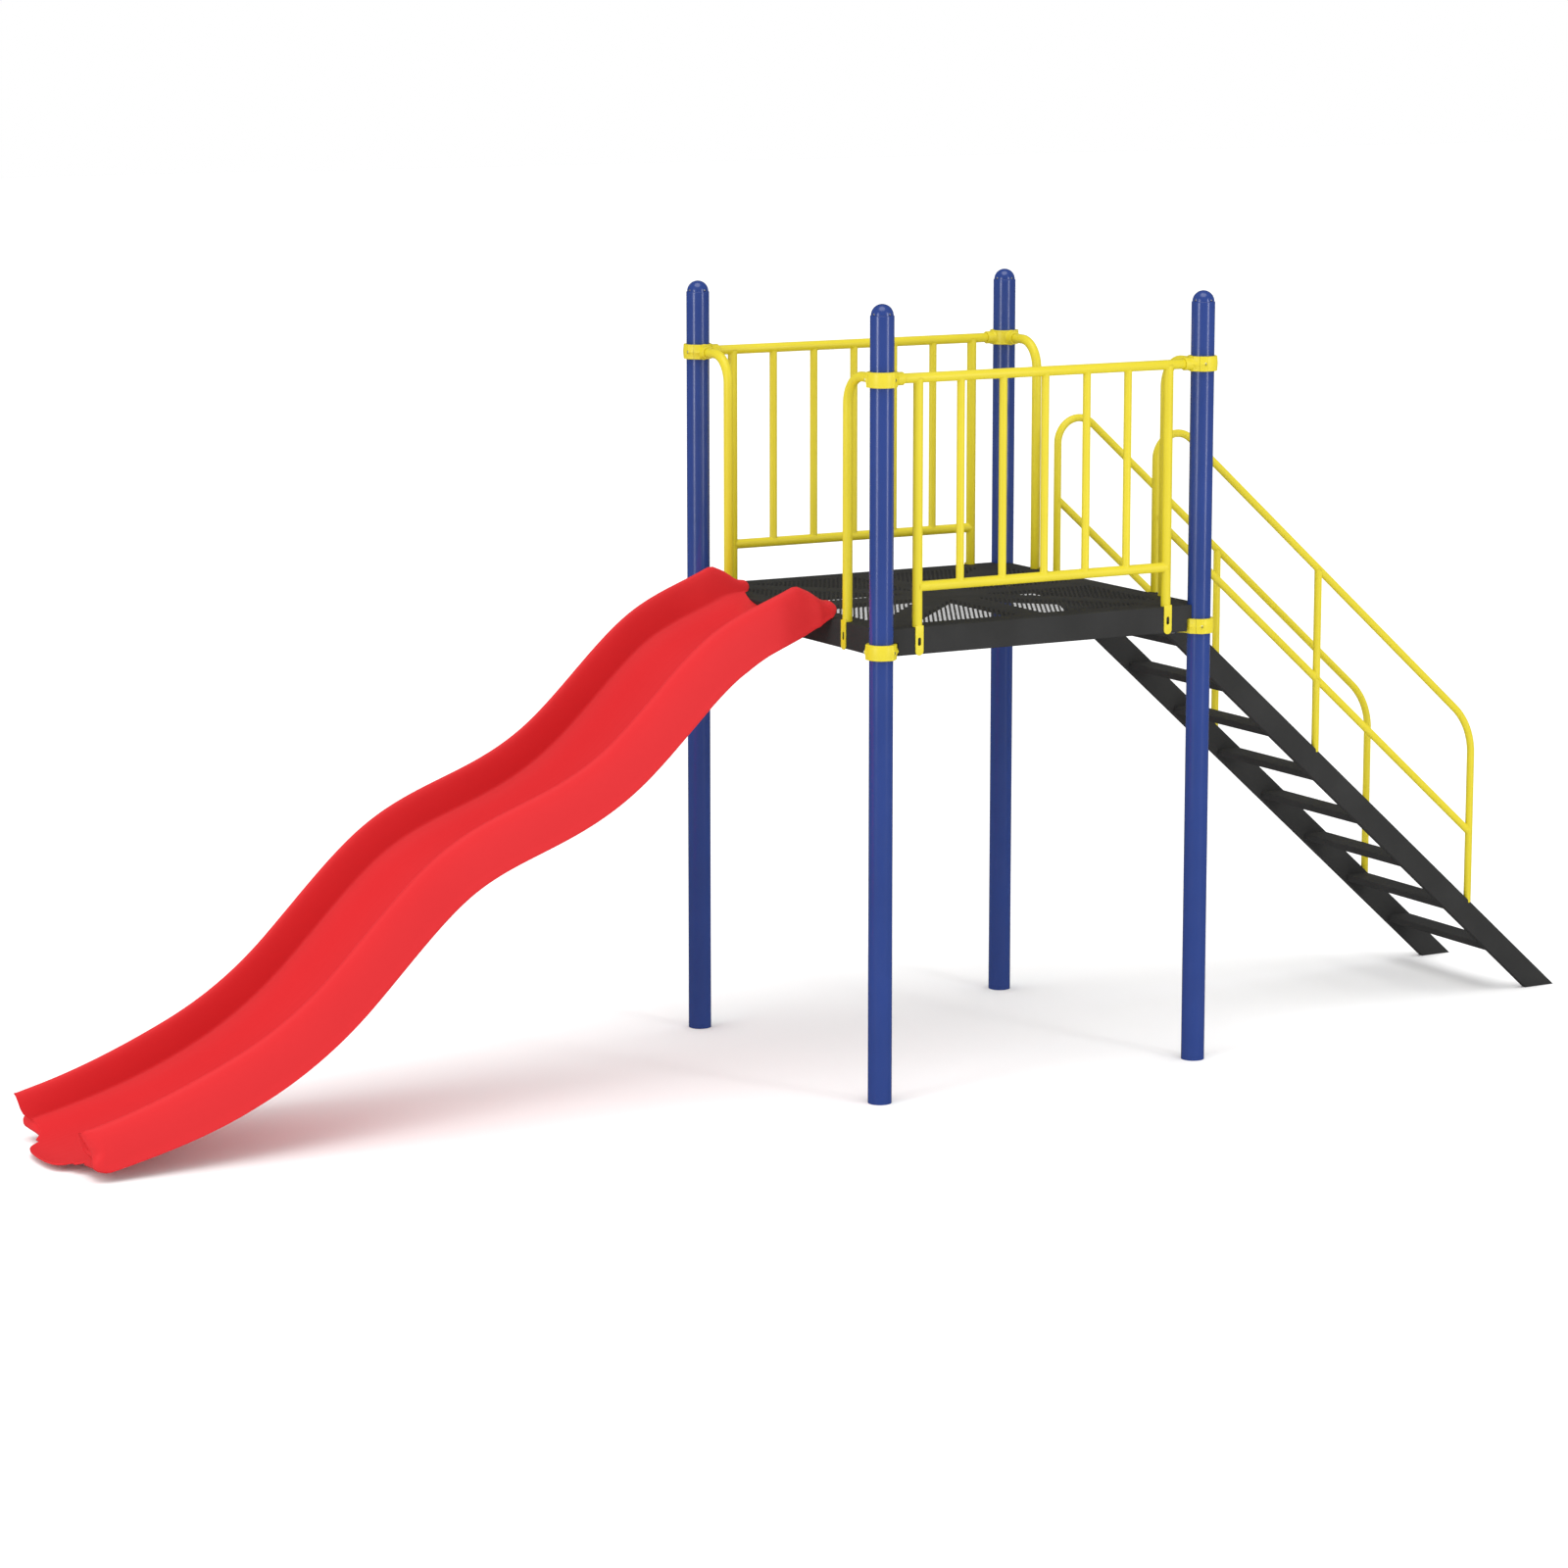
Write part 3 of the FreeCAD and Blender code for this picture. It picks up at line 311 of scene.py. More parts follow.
@dataclass(frozen=True)
class DippedCoat:
    """Soft plastisol dip over steel: matt, finely grained, a little lighter where feet have rubbed it."""

    name: str
    colour: Triple
    worn: Triple
    roughness: float
    specular: float

    def make(self) -> bpy.types.Material:
        """Builds the node material.

        Returns:
            The material.
        """
        material, tree, shader = shader_material(self.name)
        scuff = object_noise(tree, 6.0, 6.0)
        colour = ramp(tree, scuff.outputs["Fac"], (0.42, self.colour), (0.75, self.worn))
        tree.links.new(colour.outputs["Color"], shader.inputs["Base Color"])
        patch = object_noise(tree, 18.0, 4.0)
        grain = object_noise(tree, 520.0, 2.0)
        drip = object_noise(tree, 35.0, 1.0, (1, 1, 0.5))
        gloss = (self.roughness - 0.08, self.roughness + 0.1)
        rough_and_bumped(tree, shader, patch, gloss, (drip, 0.12, 0.001), (grain, 0.2, 0.0004))
        shader.inputs["Specular IOR Level"].default_value = self.specular
        return material


@dataclass(frozen=True)
class PlatedSteel:
    """Zinc-plated or blackened fastener steel: metallic, with a spangled tone and turned micro-scratches."""

    name: str
    colour: Triple
    shade: Triple
    roughness: float

    def make(self) -> bpy.types.Material:
        """Builds the node material.

        Returns:
            The material.
        """
        material, tree, shader = shader_material(self.name)
        spangle = object_noise(tree, 260.0, 3.0)
        colour = ramp(tree, spangle.outputs["Fac"], (0.35, self.shade), (0.65, self.colour))
        tree.links.new(colour.outputs["Color"], shader.inputs["Base Color"])
        scratch = object_noise(tree, 900.0, 2.0, (1, 1, 0.15))
        gloss = (self.roughness - 0.1, self.roughness + 0.12)
        rough_and_bumped(tree, shader, scratch, gloss, (scratch, 0.1, 0.0002))
        shader.inputs["Metallic"].default_value = 1.0
        return material


FINISHES = {
    Slot.POST: PowderCoat(
        "post_blue_powder_coat", (0.018, 0.047, 0.22), (0.015, 0.041, 0.195),
        roughness=0.22, specular=0.8,
    ),
    Slot.FRAME: PowderCoat(
        "frame_yellow_powder_coat", (0.675, 0.565, 0.018), (0.64, 0.53, 0.015),
        roughness=0.36, specular=0.5,
    ),
    Slot.DECK: DippedCoat(
        "deck_black_dipped_coat", (0.029, 0.029, 0.0285), (0.035, 0.035, 0.0345),
        roughness=0.72, specular=0.12,
    ),
    Slot.SLIDE: MouldedPlastic(
        "slide_red_moulded_plastic", (0.595, 0.023, 0.027), (0.575, 0.021, 0.025),
        roughness=0.5, specular=0.12,
    ),
    Slot.STEEL: PlatedSteel("zinc_plated_steel", (0.62, 0.63, 0.65), (0.5, 0.51, 0.53), roughness=0.32),
    Slot.BLACK: PlatedSteel("blackened_steel", (0.05, 0.05, 0.052), (0.03, 0.03, 0.032), roughness=0.45),
}
MATERIALS: dict[Slot, bpy.types.Material] = {}


def finish_of(slot: Slot) -> bpy.types.Material:
    """Material of a slot, made the first time it is asked for.

    Args:
        slot: Material slot.
    Returns:
        Its material.
    """
    if slot not in MATERIALS:
        MATERIALS[slot] = FINISHES[slot].make()
    return MATERIALS[slot]


# ---------------------------------------------------------------- surfaces
class Draft:
    """Patches of one piece, in millimetres, gathered before they become one mesh."""

    MERGE = 1e-5
    CREASE = math.radians(32)

    def __init__(self) -> None:
        """Starts with no patches."""
        self.points: list[Points] = []
        self.faces: list[list[int]] = []
        self.count = 0

    def grid(self, points: Points, close_rows: bool = False, close_columns: bool = False) -> None:
        """Adds a quad patch on a grid of points.

        Args:
            points: Array of rows x columns x 3.
            close_rows: Joins the last row to the first.
            close_columns: Joins the last column to the first.
        """
        rows, columns = points.shape[:2]
        index = np.arange(rows * columns).reshape(rows, columns) + self.count
        if close_rows:
            index = np.vstack([index, index[:1]])
        if close_columns:
            index = np.hstack([index, index[:, :1]])
        quads = np.stack([index[:-1, :-1], index[1:, :-1], index[1:, 1:], index[:-1, 1:]], axis=-1)
        self.faces += quads.reshape(-1, 4).tolist()
        self.points.append(points.reshape(-1, 3))
        self.count += rows * columns

    def polygons(self, points: Points) -> None:
        """Adds flat faces.

        Args:
            points: Array of faces x corners x 3.
        """
        faces, corners = points.shape[:2]
        index = np.arange(faces * corners).reshape(faces, corners) + self.count
        self.faces += index.tolist()
        self.points.append(points.reshape(-1, 3))
        self.count += faces * corners

    def piece(self, name: str, slot: Slot, nodes: Iterable[str] = ()) -> bpy.types.Object:
        """Makes the object: merged seams, outward faces, smooth shading broken at creases.

        Args:
            name: Piece name.
            slot: Material slot that the piece takes its finish from.
            nodes: CAD nodes that the piece stands for.
        Returns:
            The finished object, riding on the only body.
        """
        mesh = bpy.data.meshes.new(name)
        mesh.from_pydata(np.concatenate(self.points) * MM, [], self.faces)
        edit = bmesh.new()
        edit.from_mesh(mesh)
        bmesh.ops.remove_doubles(edit, verts=edit.verts, dist=self.MERGE)
        bmesh.ops.recalc_face_normals(edit, faces=edit.faces)
        edit.to_mesh(mesh)
        edit.free()
        mesh.validate()
        mesh.shade_smooth()
        mesh.set_sharp_from_angle(angle=self.CREASE)
        mesh.materials.append(finish_of(slot))
        item = bpy.data.objects.new(name, mesh)
        bpy.context.scene.collection.objects.link(item)
        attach(item, "root")
        if nodes:
            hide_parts(*nodes)
        log.info("%s: %d faces", name, len(mesh.polygons))
        return item


def circle(count: int, start: float = 0.0, sweep: float = TURN) -> Points:
    """Angles round a circle, or along part of one with both ends.

    Args:
        count: Number of angles.
        start: First angle.
        sweep: How far they run.
    Returns:
        The angles in radians.
    """
    return start + np.linspace(0, sweep, count, endpoint=abs(sweep) < TURN)


def lathe(profile: Points, centre: Points, axis: Points, segments: int = 48) -> Points:
    """Surface of revolution: each (radius, height) of the profile goes round the axis.

    Args:
        profile: Array of (radius, height) rows.
        centre: Point of the axis at height 0.
        axis: Unit direction of the axis.
        segments: Points round it.
    Returns:
        Grid of profile points x segments x 3, to be closed along its columns.
    """
    helper = ALONG_X if abs(axis[0]) < 0.7 else ALONG_Y
    first = np.cross(axis, helper)
    first /= np.linalg.norm(first)
    second = np.cross(axis, first)
    angle = circle(segments)
    ring = np.cos(angle)[:, None] * first + np.sin(angle)[:, None] * second
    return centre + profile[:, 0, None, None] * ring + profile[:, 1, None, None] * axis


def quarter(radius: float, steps: int = 4) -> Points:
    """Quarter circle from (0, 0) to (radius, radius): out by sine, down by one minus cosine.

    Args:
        radius: Its radius.
        steps: Number of chords.
    Returns:
        Array of (out, down) rows.
    """
    angle = np.linspace(0, math.pi / 2, steps + 1)
    return np.stack([radius * np.sin(angle), radius * (1 - np.cos(angle))], axis=1)


def pipe(draft: Draft, path: Points, radius: float, normal: Points,
         segments: int = 28, rim: float = 1.2) -> None:
    """Round tube along a path in a plane, with rounded closed ends.

    Each ring lies in the plane that halves the path's turn at its point. It is centre + radius
    (cos a * n + sin a * b), where b is the plane's normal and n is square to b and the path.

    Args:
        draft: Draft to add to.
        path: Points of the centre line.
        radius: Outer radius.
        normal: Unit normal of the plane that holds the path.
        segments: Points round the tube.
        rim: Rounding of the ends.
    """
    runs = np.diff(path, axis=0)
    runs /= np.linalg.norm(runs, axis=1)[:, None]
    tangent = np.vstack([runs[:1], runs[:-1] + runs[1:], runs[-1:]])
    tangent /= np.linalg.norm(tangent, axis=1)[:, None]
    rim_curve = quarter(rim, 3)
    lead = np.concatenate([[0.0], radius - rim + rim_curve[:-1, 0]])
    depth = np.concatenate([[0.0], rim_curve[:-1, 1]])[:, None]
    start = path[0] + depth * runs[0]
    end = path[-1] - depth * runs[-1]
    middle = path.copy()
    middle[0] += rim * runs[0]
    middle[-1] -= rim * runs[-1]
    centres = np.vstack([start, middle, end[::-1]])
    rings = len(lead)
    tangents = np.vstack([np.repeat(tangent[:1], rings, 0), tangent, np.repeat(tangent[-1:], rings, 0)])
    radii = np.concatenate([lead, np.full(len(path), radius), lead[::-1]])
    across = np.cross(tangents, normal)
    angle = circle(segments)
    ring = np.cos(angle)[None, :, None] * across[:, None] + np.sin(angle)[None, :, None] * normal
    draft.grid(centres[:, None] + radii[:, None, None] * ring, close_columns=True)


@dataclass(frozen=True)
class Rail:
    """A straight round tube that other tubes are welded to."""

    direction: Points
    radius: float


def saddle(rail: Rail, origin: Points, offset: Points, direction: Points) -> Points:
    """Distance along a direction, from points beside a rail's axis, to where lines leave the rail's surface.

    With everything seen along the rail, a line point is e + s d, and s solves |e + s d| = rail radius. Lines
    that pass beside the rail are taken to its side.

    Args:
        rail: The rail.
        origin: Point where the tube's axis meets the rail's axis. Not used.
        offset: Points round the tube, from its axis.
        direction: Unit direction of the tube away from the rail.
    Returns:
        The distances.
    """
    flat = offset - (offset @ rail.direction)[..., None] * rail.direction
    away = direction - (direction @ rail.direction) * rail.direction
    square = away @ away
    half = flat @ away
    inside = np.maximum(half**2 - square * ((flat**2).sum(-1) - rail.radius**2), 0)
    return (np.sqrt(inside) - half) / square


def strut(draft: Draft, start: Points, end: Points, radius: float, at_start: Rail | None, at_end: Rail | None,
          segments: int = 28, weld: float = 2.6, rim: float = 1.2) -> None:
    """Straight tube with a hollow-ground weld fillet where it meets a rail, and a rounded free end elsewhere.

    Along a fillet of size w the tube's radius grows by w (1 - cos q) while the height above the saddle falls
    to zero by w (1 - sin q).

    Args:
        draft: Draft to add to.
        start: Start of the axis.
        end: End of the axis.
        radius: Outer radius.
        at_start: Rail at the start, if any.
        at_end: Rail at the end, if any.
        segments: Points round the tube.
        weld: Fillet size.
        rim: Rounding of a free end.
    """
    direction = (end - start) / np.linalg.norm(end - start)
    helper = ALONG_Y if abs(direction[1]) < 0.7 else ALONG_X
    first = np.cross(direction, helper)
    first /= np.linalg.norm(first)
    second = np.cross(direction, first)
    angle = circle(segments)
    ring = np.cos(angle)[:, None] * first + np.sin(angle)[:, None] * second

    def end_rows(origin: Points, away: Points, rail: Rail | None) -> Points:
        """Rings from a closed tip to the plain tube, at one end.

        Args:
            origin: End of the axis.
            away: Unit direction from it into the tube.
            rail: Rail that the tube meets there, if any.
        Returns:
            Grid of rings x segments x 3.
        """
        if rail is None:
            curve = quarter(rim, 3)
            radii = radius - rim + curve[:, 0]
            rows = origin + curve[:, 1, None, None] * away + radii[:, None, None] * ring
        else:
            turn = np.linspace(math.pi / 2, 0, 6)
            radii = radius + weld * (1 - np.cos(turn))
            rise = weld * (1 - np.sin(turn))
            offset = radii[:, None, None] * ring
            reach = saddle(rail, origin, offset, away) + rise[:, None]
            rows = origin + offset + reach[..., None] * away
        tip = np.broadcast_to(origin, (1, segments, 3))
        return np.concatenate([tip, rows])

    rows = np.concatenate([end_rows(start, direction, at_start), end_rows(end, -direction, at_end)[::-1]])
    draft.grid(rows, close_columns=True)


def arc_points(centre: Points, first: Points, second: Points, radius: float,
               start: float, end: float, steps: int) -> Points:
    """Arc centre + radius (cos a * first + sin a * second) between two angles.

    Args:
        centre: Centre of the arc.
        first: Unit direction at angle 0.
        second: Unit direction at a right angle.
        radius: Its radius.
        start: First angle in radians.
        end: Last angle in radians.
        steps: Number of chords.
    Returns:
        The points, ends included.
    """
    angle = np.linspace(start, end, steps + 1)[:, None]
    return centre + radius * (np.cos(angle) * first + np.sin(angle) * second)


def inset(outline: Points, distance: float) -> Points:
    """Moves every edge of a closed outline inwards by a distance and meets them again at mitred corners.

    Args:
        outline: Corner points, anticlockwise.
        distance: How far each edge moves to its left.
    Returns:
        The new corner points.
    """
    before = outline - np.roll(outline, 1, axis=0)
    after = np.roll(outline, -1, axis=0) - outline
    before = before / np.linalg.norm(before, axis=1)[:, None]
    after = after / np.linalg.norm(after, axis=1)[:, None]
    left_before = np.stack([-before[:, 1], before[:, 0]], axis=1)
    left_after = np.stack([-after[:, 1], after[:, 0]], axis=1)
    total = left_before + left_after
    return outline + distance * total / (1 + (left_before * left_after).sum(1))[:, None]


def anticlockwise(outline: Points) -> Points:
    """The outline, turned round if it runs clockwise.

    Args:
        outline: Corner points.
    Returns:
        The same points, anticlockwise.
    """
    x, y = outline[:, 0], outline[:, 1]
    area = (x * np.roll(y, -1) - np.roll(x, -1) * y).sum()
    return outline if area > 0 else outline[::-1]


def slab(draft: Draft, outline: Points, origin: Points, right: Points, forward: Points,
         thickness: float, edge: float) -> None:
    """Prism with rounded edges: rings of the outline, inset by a quarter circle at both faces.

    Args:
        draft: Draft to add to.
        outline: Corner points in the plane of right and forward.
        origin: Point of the lower face.
        right: First axis of the outline.
        forward: Second axis of the outline.
        thickness: Height along right x forward.
        edge: Rounding radius.
    """
    up = np.cross(right, forward)
    outline = anticlockwise(outline)
    curve = quarter(edge, 3)
    insets = edge - curve[:, 0]
    rises = curve[:, 1]
    rings = [inset(outline, gap) for gap in insets]
    heights = list(rises)
    rings += rings[::-1]
    heights += [thickness - rise for rise in rises[::-1]]
    flat = np.stack(rings)
    points = origin + flat[..., :1] * right + flat[..., 1:] * forward + np.array(heights)[:, None, None] * up
    draft.grid(points, close_columns=True)
    draft.polygons(points[:1])
    draft.polygons(points[-1:])


def channel(draft: Draft, profile: Points, ends: Points, along: Points, right: Points) -> None:
    """Folded sheet: a closed profile of (across, height) carried between two ends for every profile point.

    Args:
        draft: Draft to add to.
        profile: Closed loop of (across, height) points.
        ends: For each profile point, where it starts and ends along the run.
        along: Unit direction of the run.
        right: Unit direction across it.
    """
    base = profile[:, :1] * right + profile[:, 1:] * UP
    share = np.linspace(0, 1, 5)
    stations = ends[:, :1] * (1 - share) + ends[:, 1:] * share
    points = base[:, None] + stations[..., None] * along
    draft.grid(points, close_rows=True)
    draft.polygons(points[None, :, 0])
    draft.polygons(points[None, :, -1])


# ---------------------------------------------------------------- posts
@dataclass
class Post:
    """Blue tube post with its domed cap."""

    corner: Corner
    radius: float = 38.05
    wall: float = 3.2
    rim: float = 2.4
    dome: float = 35.6
    dome_wall: float = 3.0
    skirt: float = 40.0
    skirt_gap: float = 0.2
    segments: int = 64

    def build(self) -> None:
        """Builds the tube and the cap as lathe surfaces round the post's axis."""
        foot = post_axis(self.corner)
        top = node_box(f"post_{self.corner.node}")[1][2]
        curve = quarter(self.rim, 5)
        outer = np.stack([self.radius - self.rim + curve[:, 0], top - curve[:, 1]], axis=1)
        levels = np.linspace(top - 60, 0, 12)
        side = np.stack([np.full(len(levels), self.radius), levels], axis=1)
        inner = self.radius - self.wall
        mouth = [inner, top - 0.6]
        profile = np.vstack([mouth, [inner + 0.5, top], outer, side, [inner, 0], mouth])
        tube = Draft()
        tube.grid(lathe(profile, foot, UP, self.segments), close_columns=True)
        tube.piece(f"post_{self.corner.node}_tube", Slot.POST, [f"post_{self.corner.node}"])

        angle = np.linspace(0, math.pi / 2, 20)
        out = np.stack([self.dome * np.cos(angle), top + self.dome * np.sin(angle)], axis=1)
        hollow = self.dome - self.dome_wall
        into = np.stack([hollow * np.sin(angle), top + hollow * np.cos(angle)], axis=1)
        outside = inner - self.skirt_gap
        bottom = top - self.skirt
        loop = np.vstack([[hollow, bottom], [outside, bottom], [outside, top + 0.3], out, into])
        cap = Draft()
        cap.grid(lathe(loop, foot, UP, self.segments), close_rows=True, close_columns=True)
        cap.piece(f"cap_{self.corner.node}_dome", Slot.POST, [f"cap_{self.corner.node}"])


@dataclass
class CapRivets:
    """Domed drive rivets round the foot of every cap."""

    radius: float = 3.5
    dome: float = 2.2
    seat_radius: float = 35.6
    rise: float = 4.5
    turn: float = 12.0
    shank: float = 2.0
    shank_length: float = 8.0
    above: float = 0.4
    below: float = 0.6

    def build(self) -> None:
        """Builds every rivet as a lathe surface: an elliptic dome on a disc with its shank behind it."""
        draft = Draft()
        angle = np.linspace(math.pi / 2, 0, 7)
        dome = np.stack([self.radius * np.cos(angle), self.above + self.dome * np.sin(angle)], axis=1)
        back = [[self.radius, -self.below], [self.shank, -self.below]]
        tail = [[self.shank, -self.shank_length], [0, -self.shank_length]]
        profile = np.vstack([dome, back, tail])
        tilt = math.asin(self.rise / self.seat_radius)
        for corner in Corner:
            centre = post_axis(corner)
            centre[2] = node_box(f"post_{corner.node}")[1][2]
            for quarter_turn in range(4):
                turn = math.radians(self.turn + 90 * quarter_turn)
                level = np.array([math.cos(turn), math.sin(turn), 0.0])
                out = level * math.cos(tilt) + UP * math.sin(tilt)
                draft.grid(lathe(profile, centre + out * self.seat_radius, out, 16), close_columns=True)
        draft.piece("cap_drive_rivets", Slot.STEEL, ["cap_rivets"])


# ---------------------------------------------------------------- clamps
class Level(Enum):
    """The two heights where clamps grip the posts."""

    TOP = "top"
    DECK = "deck"


@dataclass
class Clamp:
    """Two-part cast clamp: barrel ring, screw ears, rail sockets at the top or a shelf at the deck."""

    corner: Corner
    level: Level
    bore: float = 38.2
    edge_radius: float = 46.5
    bulge: float = 2.5
    height: float = 48.4
    edge_round: float = 1.4
    bead: float = 0.9
    bead_in: float = 3.0
    bead_width: float = 2.0
    ear_offset: float = 45.5
    ear_radius: float = 8.0
    ear_swell: float = 4.6
    ear_reach: float = 22.0
    ear_wall: float = 1.4
    ear_round: float = 1.8
    ear_boss: float = 6.0
    ear_taper: float = 2.0
    blend_over: float = 3.0
    blend_run: float = 5.0
    softness: float = 6.0
    soft_drop: float = 0.25
    bore_edge: float = 0.5
    split: float = 0.4
    socket_radius: float = 21.0
    socket_reach: float = 74.0
    socket_bore: float = 16.05
    socket_root: float = 40.0
    socket_floor: float = 56.0
    flare_out: float = 5.0
    flare_start: float = 44.0
    flare_run: float = 9.0
    mouth_round: float = 2.0
    mouth_edge: float = 0.6
    shelf_width: float = 50.0
    shelf_reach: float = 108.0
    shelf_thickness: float = 7.4
    shelf_edge: float = 1.5
    shelf_gap: float = 2.0

    def centre(self) -> Points:
        """Middle of the ring on the post's axis.

        Returns:
            The point.
        """
        low, high = node_box(f"{self.level.value}_clamp_outer_{self.corner.node}")
        return post_axis(self.corner) + UP * (low[2] + high[2]) / 2

    def ring_half(self, draft: Draft, middle: Points) -> None:
        """Half ring about a middle direction.

        The outer radius is the barrel e + b (1 - (z / h)^2) with a bead at each edge, blended by a soft
        maximum into the ear cylinders beside the split.

        Args:
            draft: Draft to add to.
            middle: Unit direction from the post to the middle of the half.
        """
        half = self.height / 2
        across = np.cross(UP, middle)
        turn = np.concatenate([np.linspace(-90, -55, 26), np.linspace(-53, 53, 40), np.linspace(55, 90, 26)])
        turn = np.radians(turn)
        rows = np.linspace(-1, 1, 27)
        rows = np.sign(rows) * (1 - (1 - np.abs(rows)) ** 1.5)
        z = rows * (half - self.edge_round)
        barrel = self.edge_radius + self.bulge * (1 - (z / half) ** 2)
        barrel = barrel + self.bead * np.exp(-(((half - self.bead_in - np.abs(z)) / self.bead_width) ** 2))
        radius = np.repeat(barrel[:, None], len(turn), 1)
        side = np.maximum(np.abs(np.sin(turn)), 0.5)
        lobe = self.ear_offset + self.ear_swell * np.exp(-((z / self.ear_radius) ** 2))
        ear = lobe[:, None] / side
        above = self.ear_reach + self.blend_over - np.abs(np.cos(turn)) * radius
        lift = np.clip(above / self.blend_run, 0, 1)
        gap = ear - radius
        soft = (gap + np.sqrt(gap**2 + self.softness)) / 2
        radius = radius + lift * np.maximum(soft - self.soft_drop, 0)
        curve = quarter(self.edge_round, 3)
        cap_z = half - curve[:-1, 1][::-1]
        cap_radius = radius[-1] - (self.edge_round - curve[:-1, 0][::-1])[:, None]
        base_radius = radius[0] - (self.edge_round - curve[:-1, 0])[:, None]
        shelf = np.full((1, len(turn)), self.bore + self.bore_edge)
        wall = np.full((1, len(turn)), self.bore)
        all_radius = np.vstack([shelf, base_radius, radius, cap_radius, shelf, wall, wall])
        wall_half = half - self.bore_edge
        all_z = np.concatenate([[-half], -cap_z[::-1], z, cap_z, [half], [wall_half], [-wall_half]])
        inward = np.maximum(np.cos(turn) * all_radius, self.split)
        points = inward[..., None] * middle + (np.sin(turn) * all_radius)[..., None] * across
        points = self.centre() + points + all_z[:, None, None] * UP
        draft.grid(points, close_rows=True)
        draft.polygons(points[None, :, 0])
        draft.polygons(points[None, :, -1])
        for end in (-1, 1):
            axis_point = self.centre() + across * end * self.ear_offset
            boss = self.ear_swell + self.ear_wall
            rim = quarter(self.ear_round, 3)
            profile = np.vstack([
                [0.0, self.ear_reach],
                np.stack([boss - self.ear_round + rim[:, 0], self.ear_reach - rim[:, 1]], axis=1),
                [boss, self.ear_reach - self.ear_boss], [boss - self.ear_taper, self.split], [0, self.split],
            ])
            draft.grid(lathe(profile, axis_point, middle, 28), close_columns=True)

    def socket(self, draft: Draft, direction: Points) -> None:
        """Rail socket: a lathe profile that flares where it leaves the ring and is bored at its mouth.

        Args:
            draft: Draft to add to.
            direction: Unit direction of the rail.
        """
        flare = np.linspace(0, 1, 7)
        swell = self.flare_out * (1 - np.sqrt(1 - (1 - flare) ** 2))
        root = np.stack([self.socket_radius + swell, self.flare_start + self.flare_run * flare], axis=1)
        rim = quarter(self.mouth_round, 4)
        flat = self.socket_radius - self.mouth_round
        mouth = np.stack([flat + rim[:, 0], self.socket_reach - rim[:, 1]], axis=1)[::-1]
        edge = self.mouth_edge
        bore = [[self.socket_bore + edge, self.socket_reach], [self.socket_bore, self.socket_reach - edge]]
        back = [[self.socket_bore, self.socket_floor], [0, self.socket_floor]]
        start = [[0, self.socket_root], [self.socket_radius, self.socket_root]]
        profile = np.vstack([start, root, mouth, bore, back])
        draft.grid(lathe(profile, self.centre(), direction, 40), close_columns=True)

    def shelf(self, draft: Draft) -> None:
        """Level shelf with a round end under the deck's corner.

        Args:
            draft: Draft to add to.
        """
        inward = self.corner.inward
        left = np.cross(UP, inward)
        half = self.shelf_width / 2
        angle = circle(20, -math.pi / 2, math.pi)
        tip = np.stack([self.shelf_reach - half + half * np.cos(angle), half * np.sin(angle)], axis=1)
        root = self.bore + self.shelf_gap
        outline = np.vstack([[root, -half], tip, [root, half]])
        origin = self.centre() - UP * self.height / 2
        slab(draft, outline, origin, inward, left, self.shelf_thickness, self.shelf_edge)

    def build(self) -> None:
        """Builds the inner and the outer half as separate pieces."""
        inward = self.corner.inward
        side_x, side_y = self.corner.value
        for half, middle in (("inner", inward), ("outer", -inward)):
            draft = Draft()
            self.ring_half(draft, middle)
            if half == "inner" and self.level is Level.TOP:
                self.socket(draft, ALONG_X * -side_x)
                self.socket(draft, ALONG_Y * -side_y)
            elif half == "inner":
                self.shelf(draft)
            name = f"{self.level.value}_clamp_{half}_{self.corner.node}"
            draft.piece(f"{name}_casting", Slot.FRAME, [name])


@dataclass
class ClampScrews:
    """Hexagon-socket screws in the ears of every clamp's outer half."""

    head_radius: float = 6.0
    head_depth: float = 6.0
    shank_radius: float = 3.9
    shank_end: float = 30.0
    flats: float = 6.0
    recess: float = 3.0
    proud: float = 0.8
    rim: float = 0.8

    def build(self) -> None:
        """Builds every screw as a lathe surface whose recess radius follows a hexagon."""
        draft = Draft()
        segments = 24
        angle = circle(segments)
        hexagon = self.flats / 2 / np.cos((angle + math.pi / 6) % (math.pi / 3) - math.pi / 6)
        rim = quarter(self.rim, 2)
        plain = np.vstack([
            np.stack([self.head_radius - self.rim + rim[:, 0], -rim[:, 1]], axis=1),
            [[self.head_radius, -self.head_depth], [self.shank_radius, -self.head_depth]],
            [[self.shank_radius, -self.shank_end], [0, -self.shank_end]],
        ])
        for corner in Corner:
            for level in Level:
                clamp = Clamp(corner, level)
                out = -corner.inward
                across = np.cross(UP, out)
                for end in (-1, 1):
                    reach = clamp.ear_reach + self.proud
                    seat = clamp.centre() + across * end * clamp.ear_offset + out * reach
                    body = lathe(plain, seat, out, segments)
                    unit = lathe(np.array([[1.0, 0.0]]), np.zeros(3), out, segments)
                    wall = np.array([0.0, self.recess])[:, None, None] * out
                    key = seat + unit * hexagon[None, :, None] - wall
                    floor = np.broadcast_to(seat - self.recess * out, (1, segments, 3))
                    draft.grid(np.concatenate([floor, key[::-1], body]), close_columns=True)
        draft.piece("clamp_socket_screws", Slot.STEEL, ["clamp_screws"])


# ---------------------------------------------------------------- guards and hoops
RAIL_SEGMENTS = 32
FOOT_GAP = 0.3


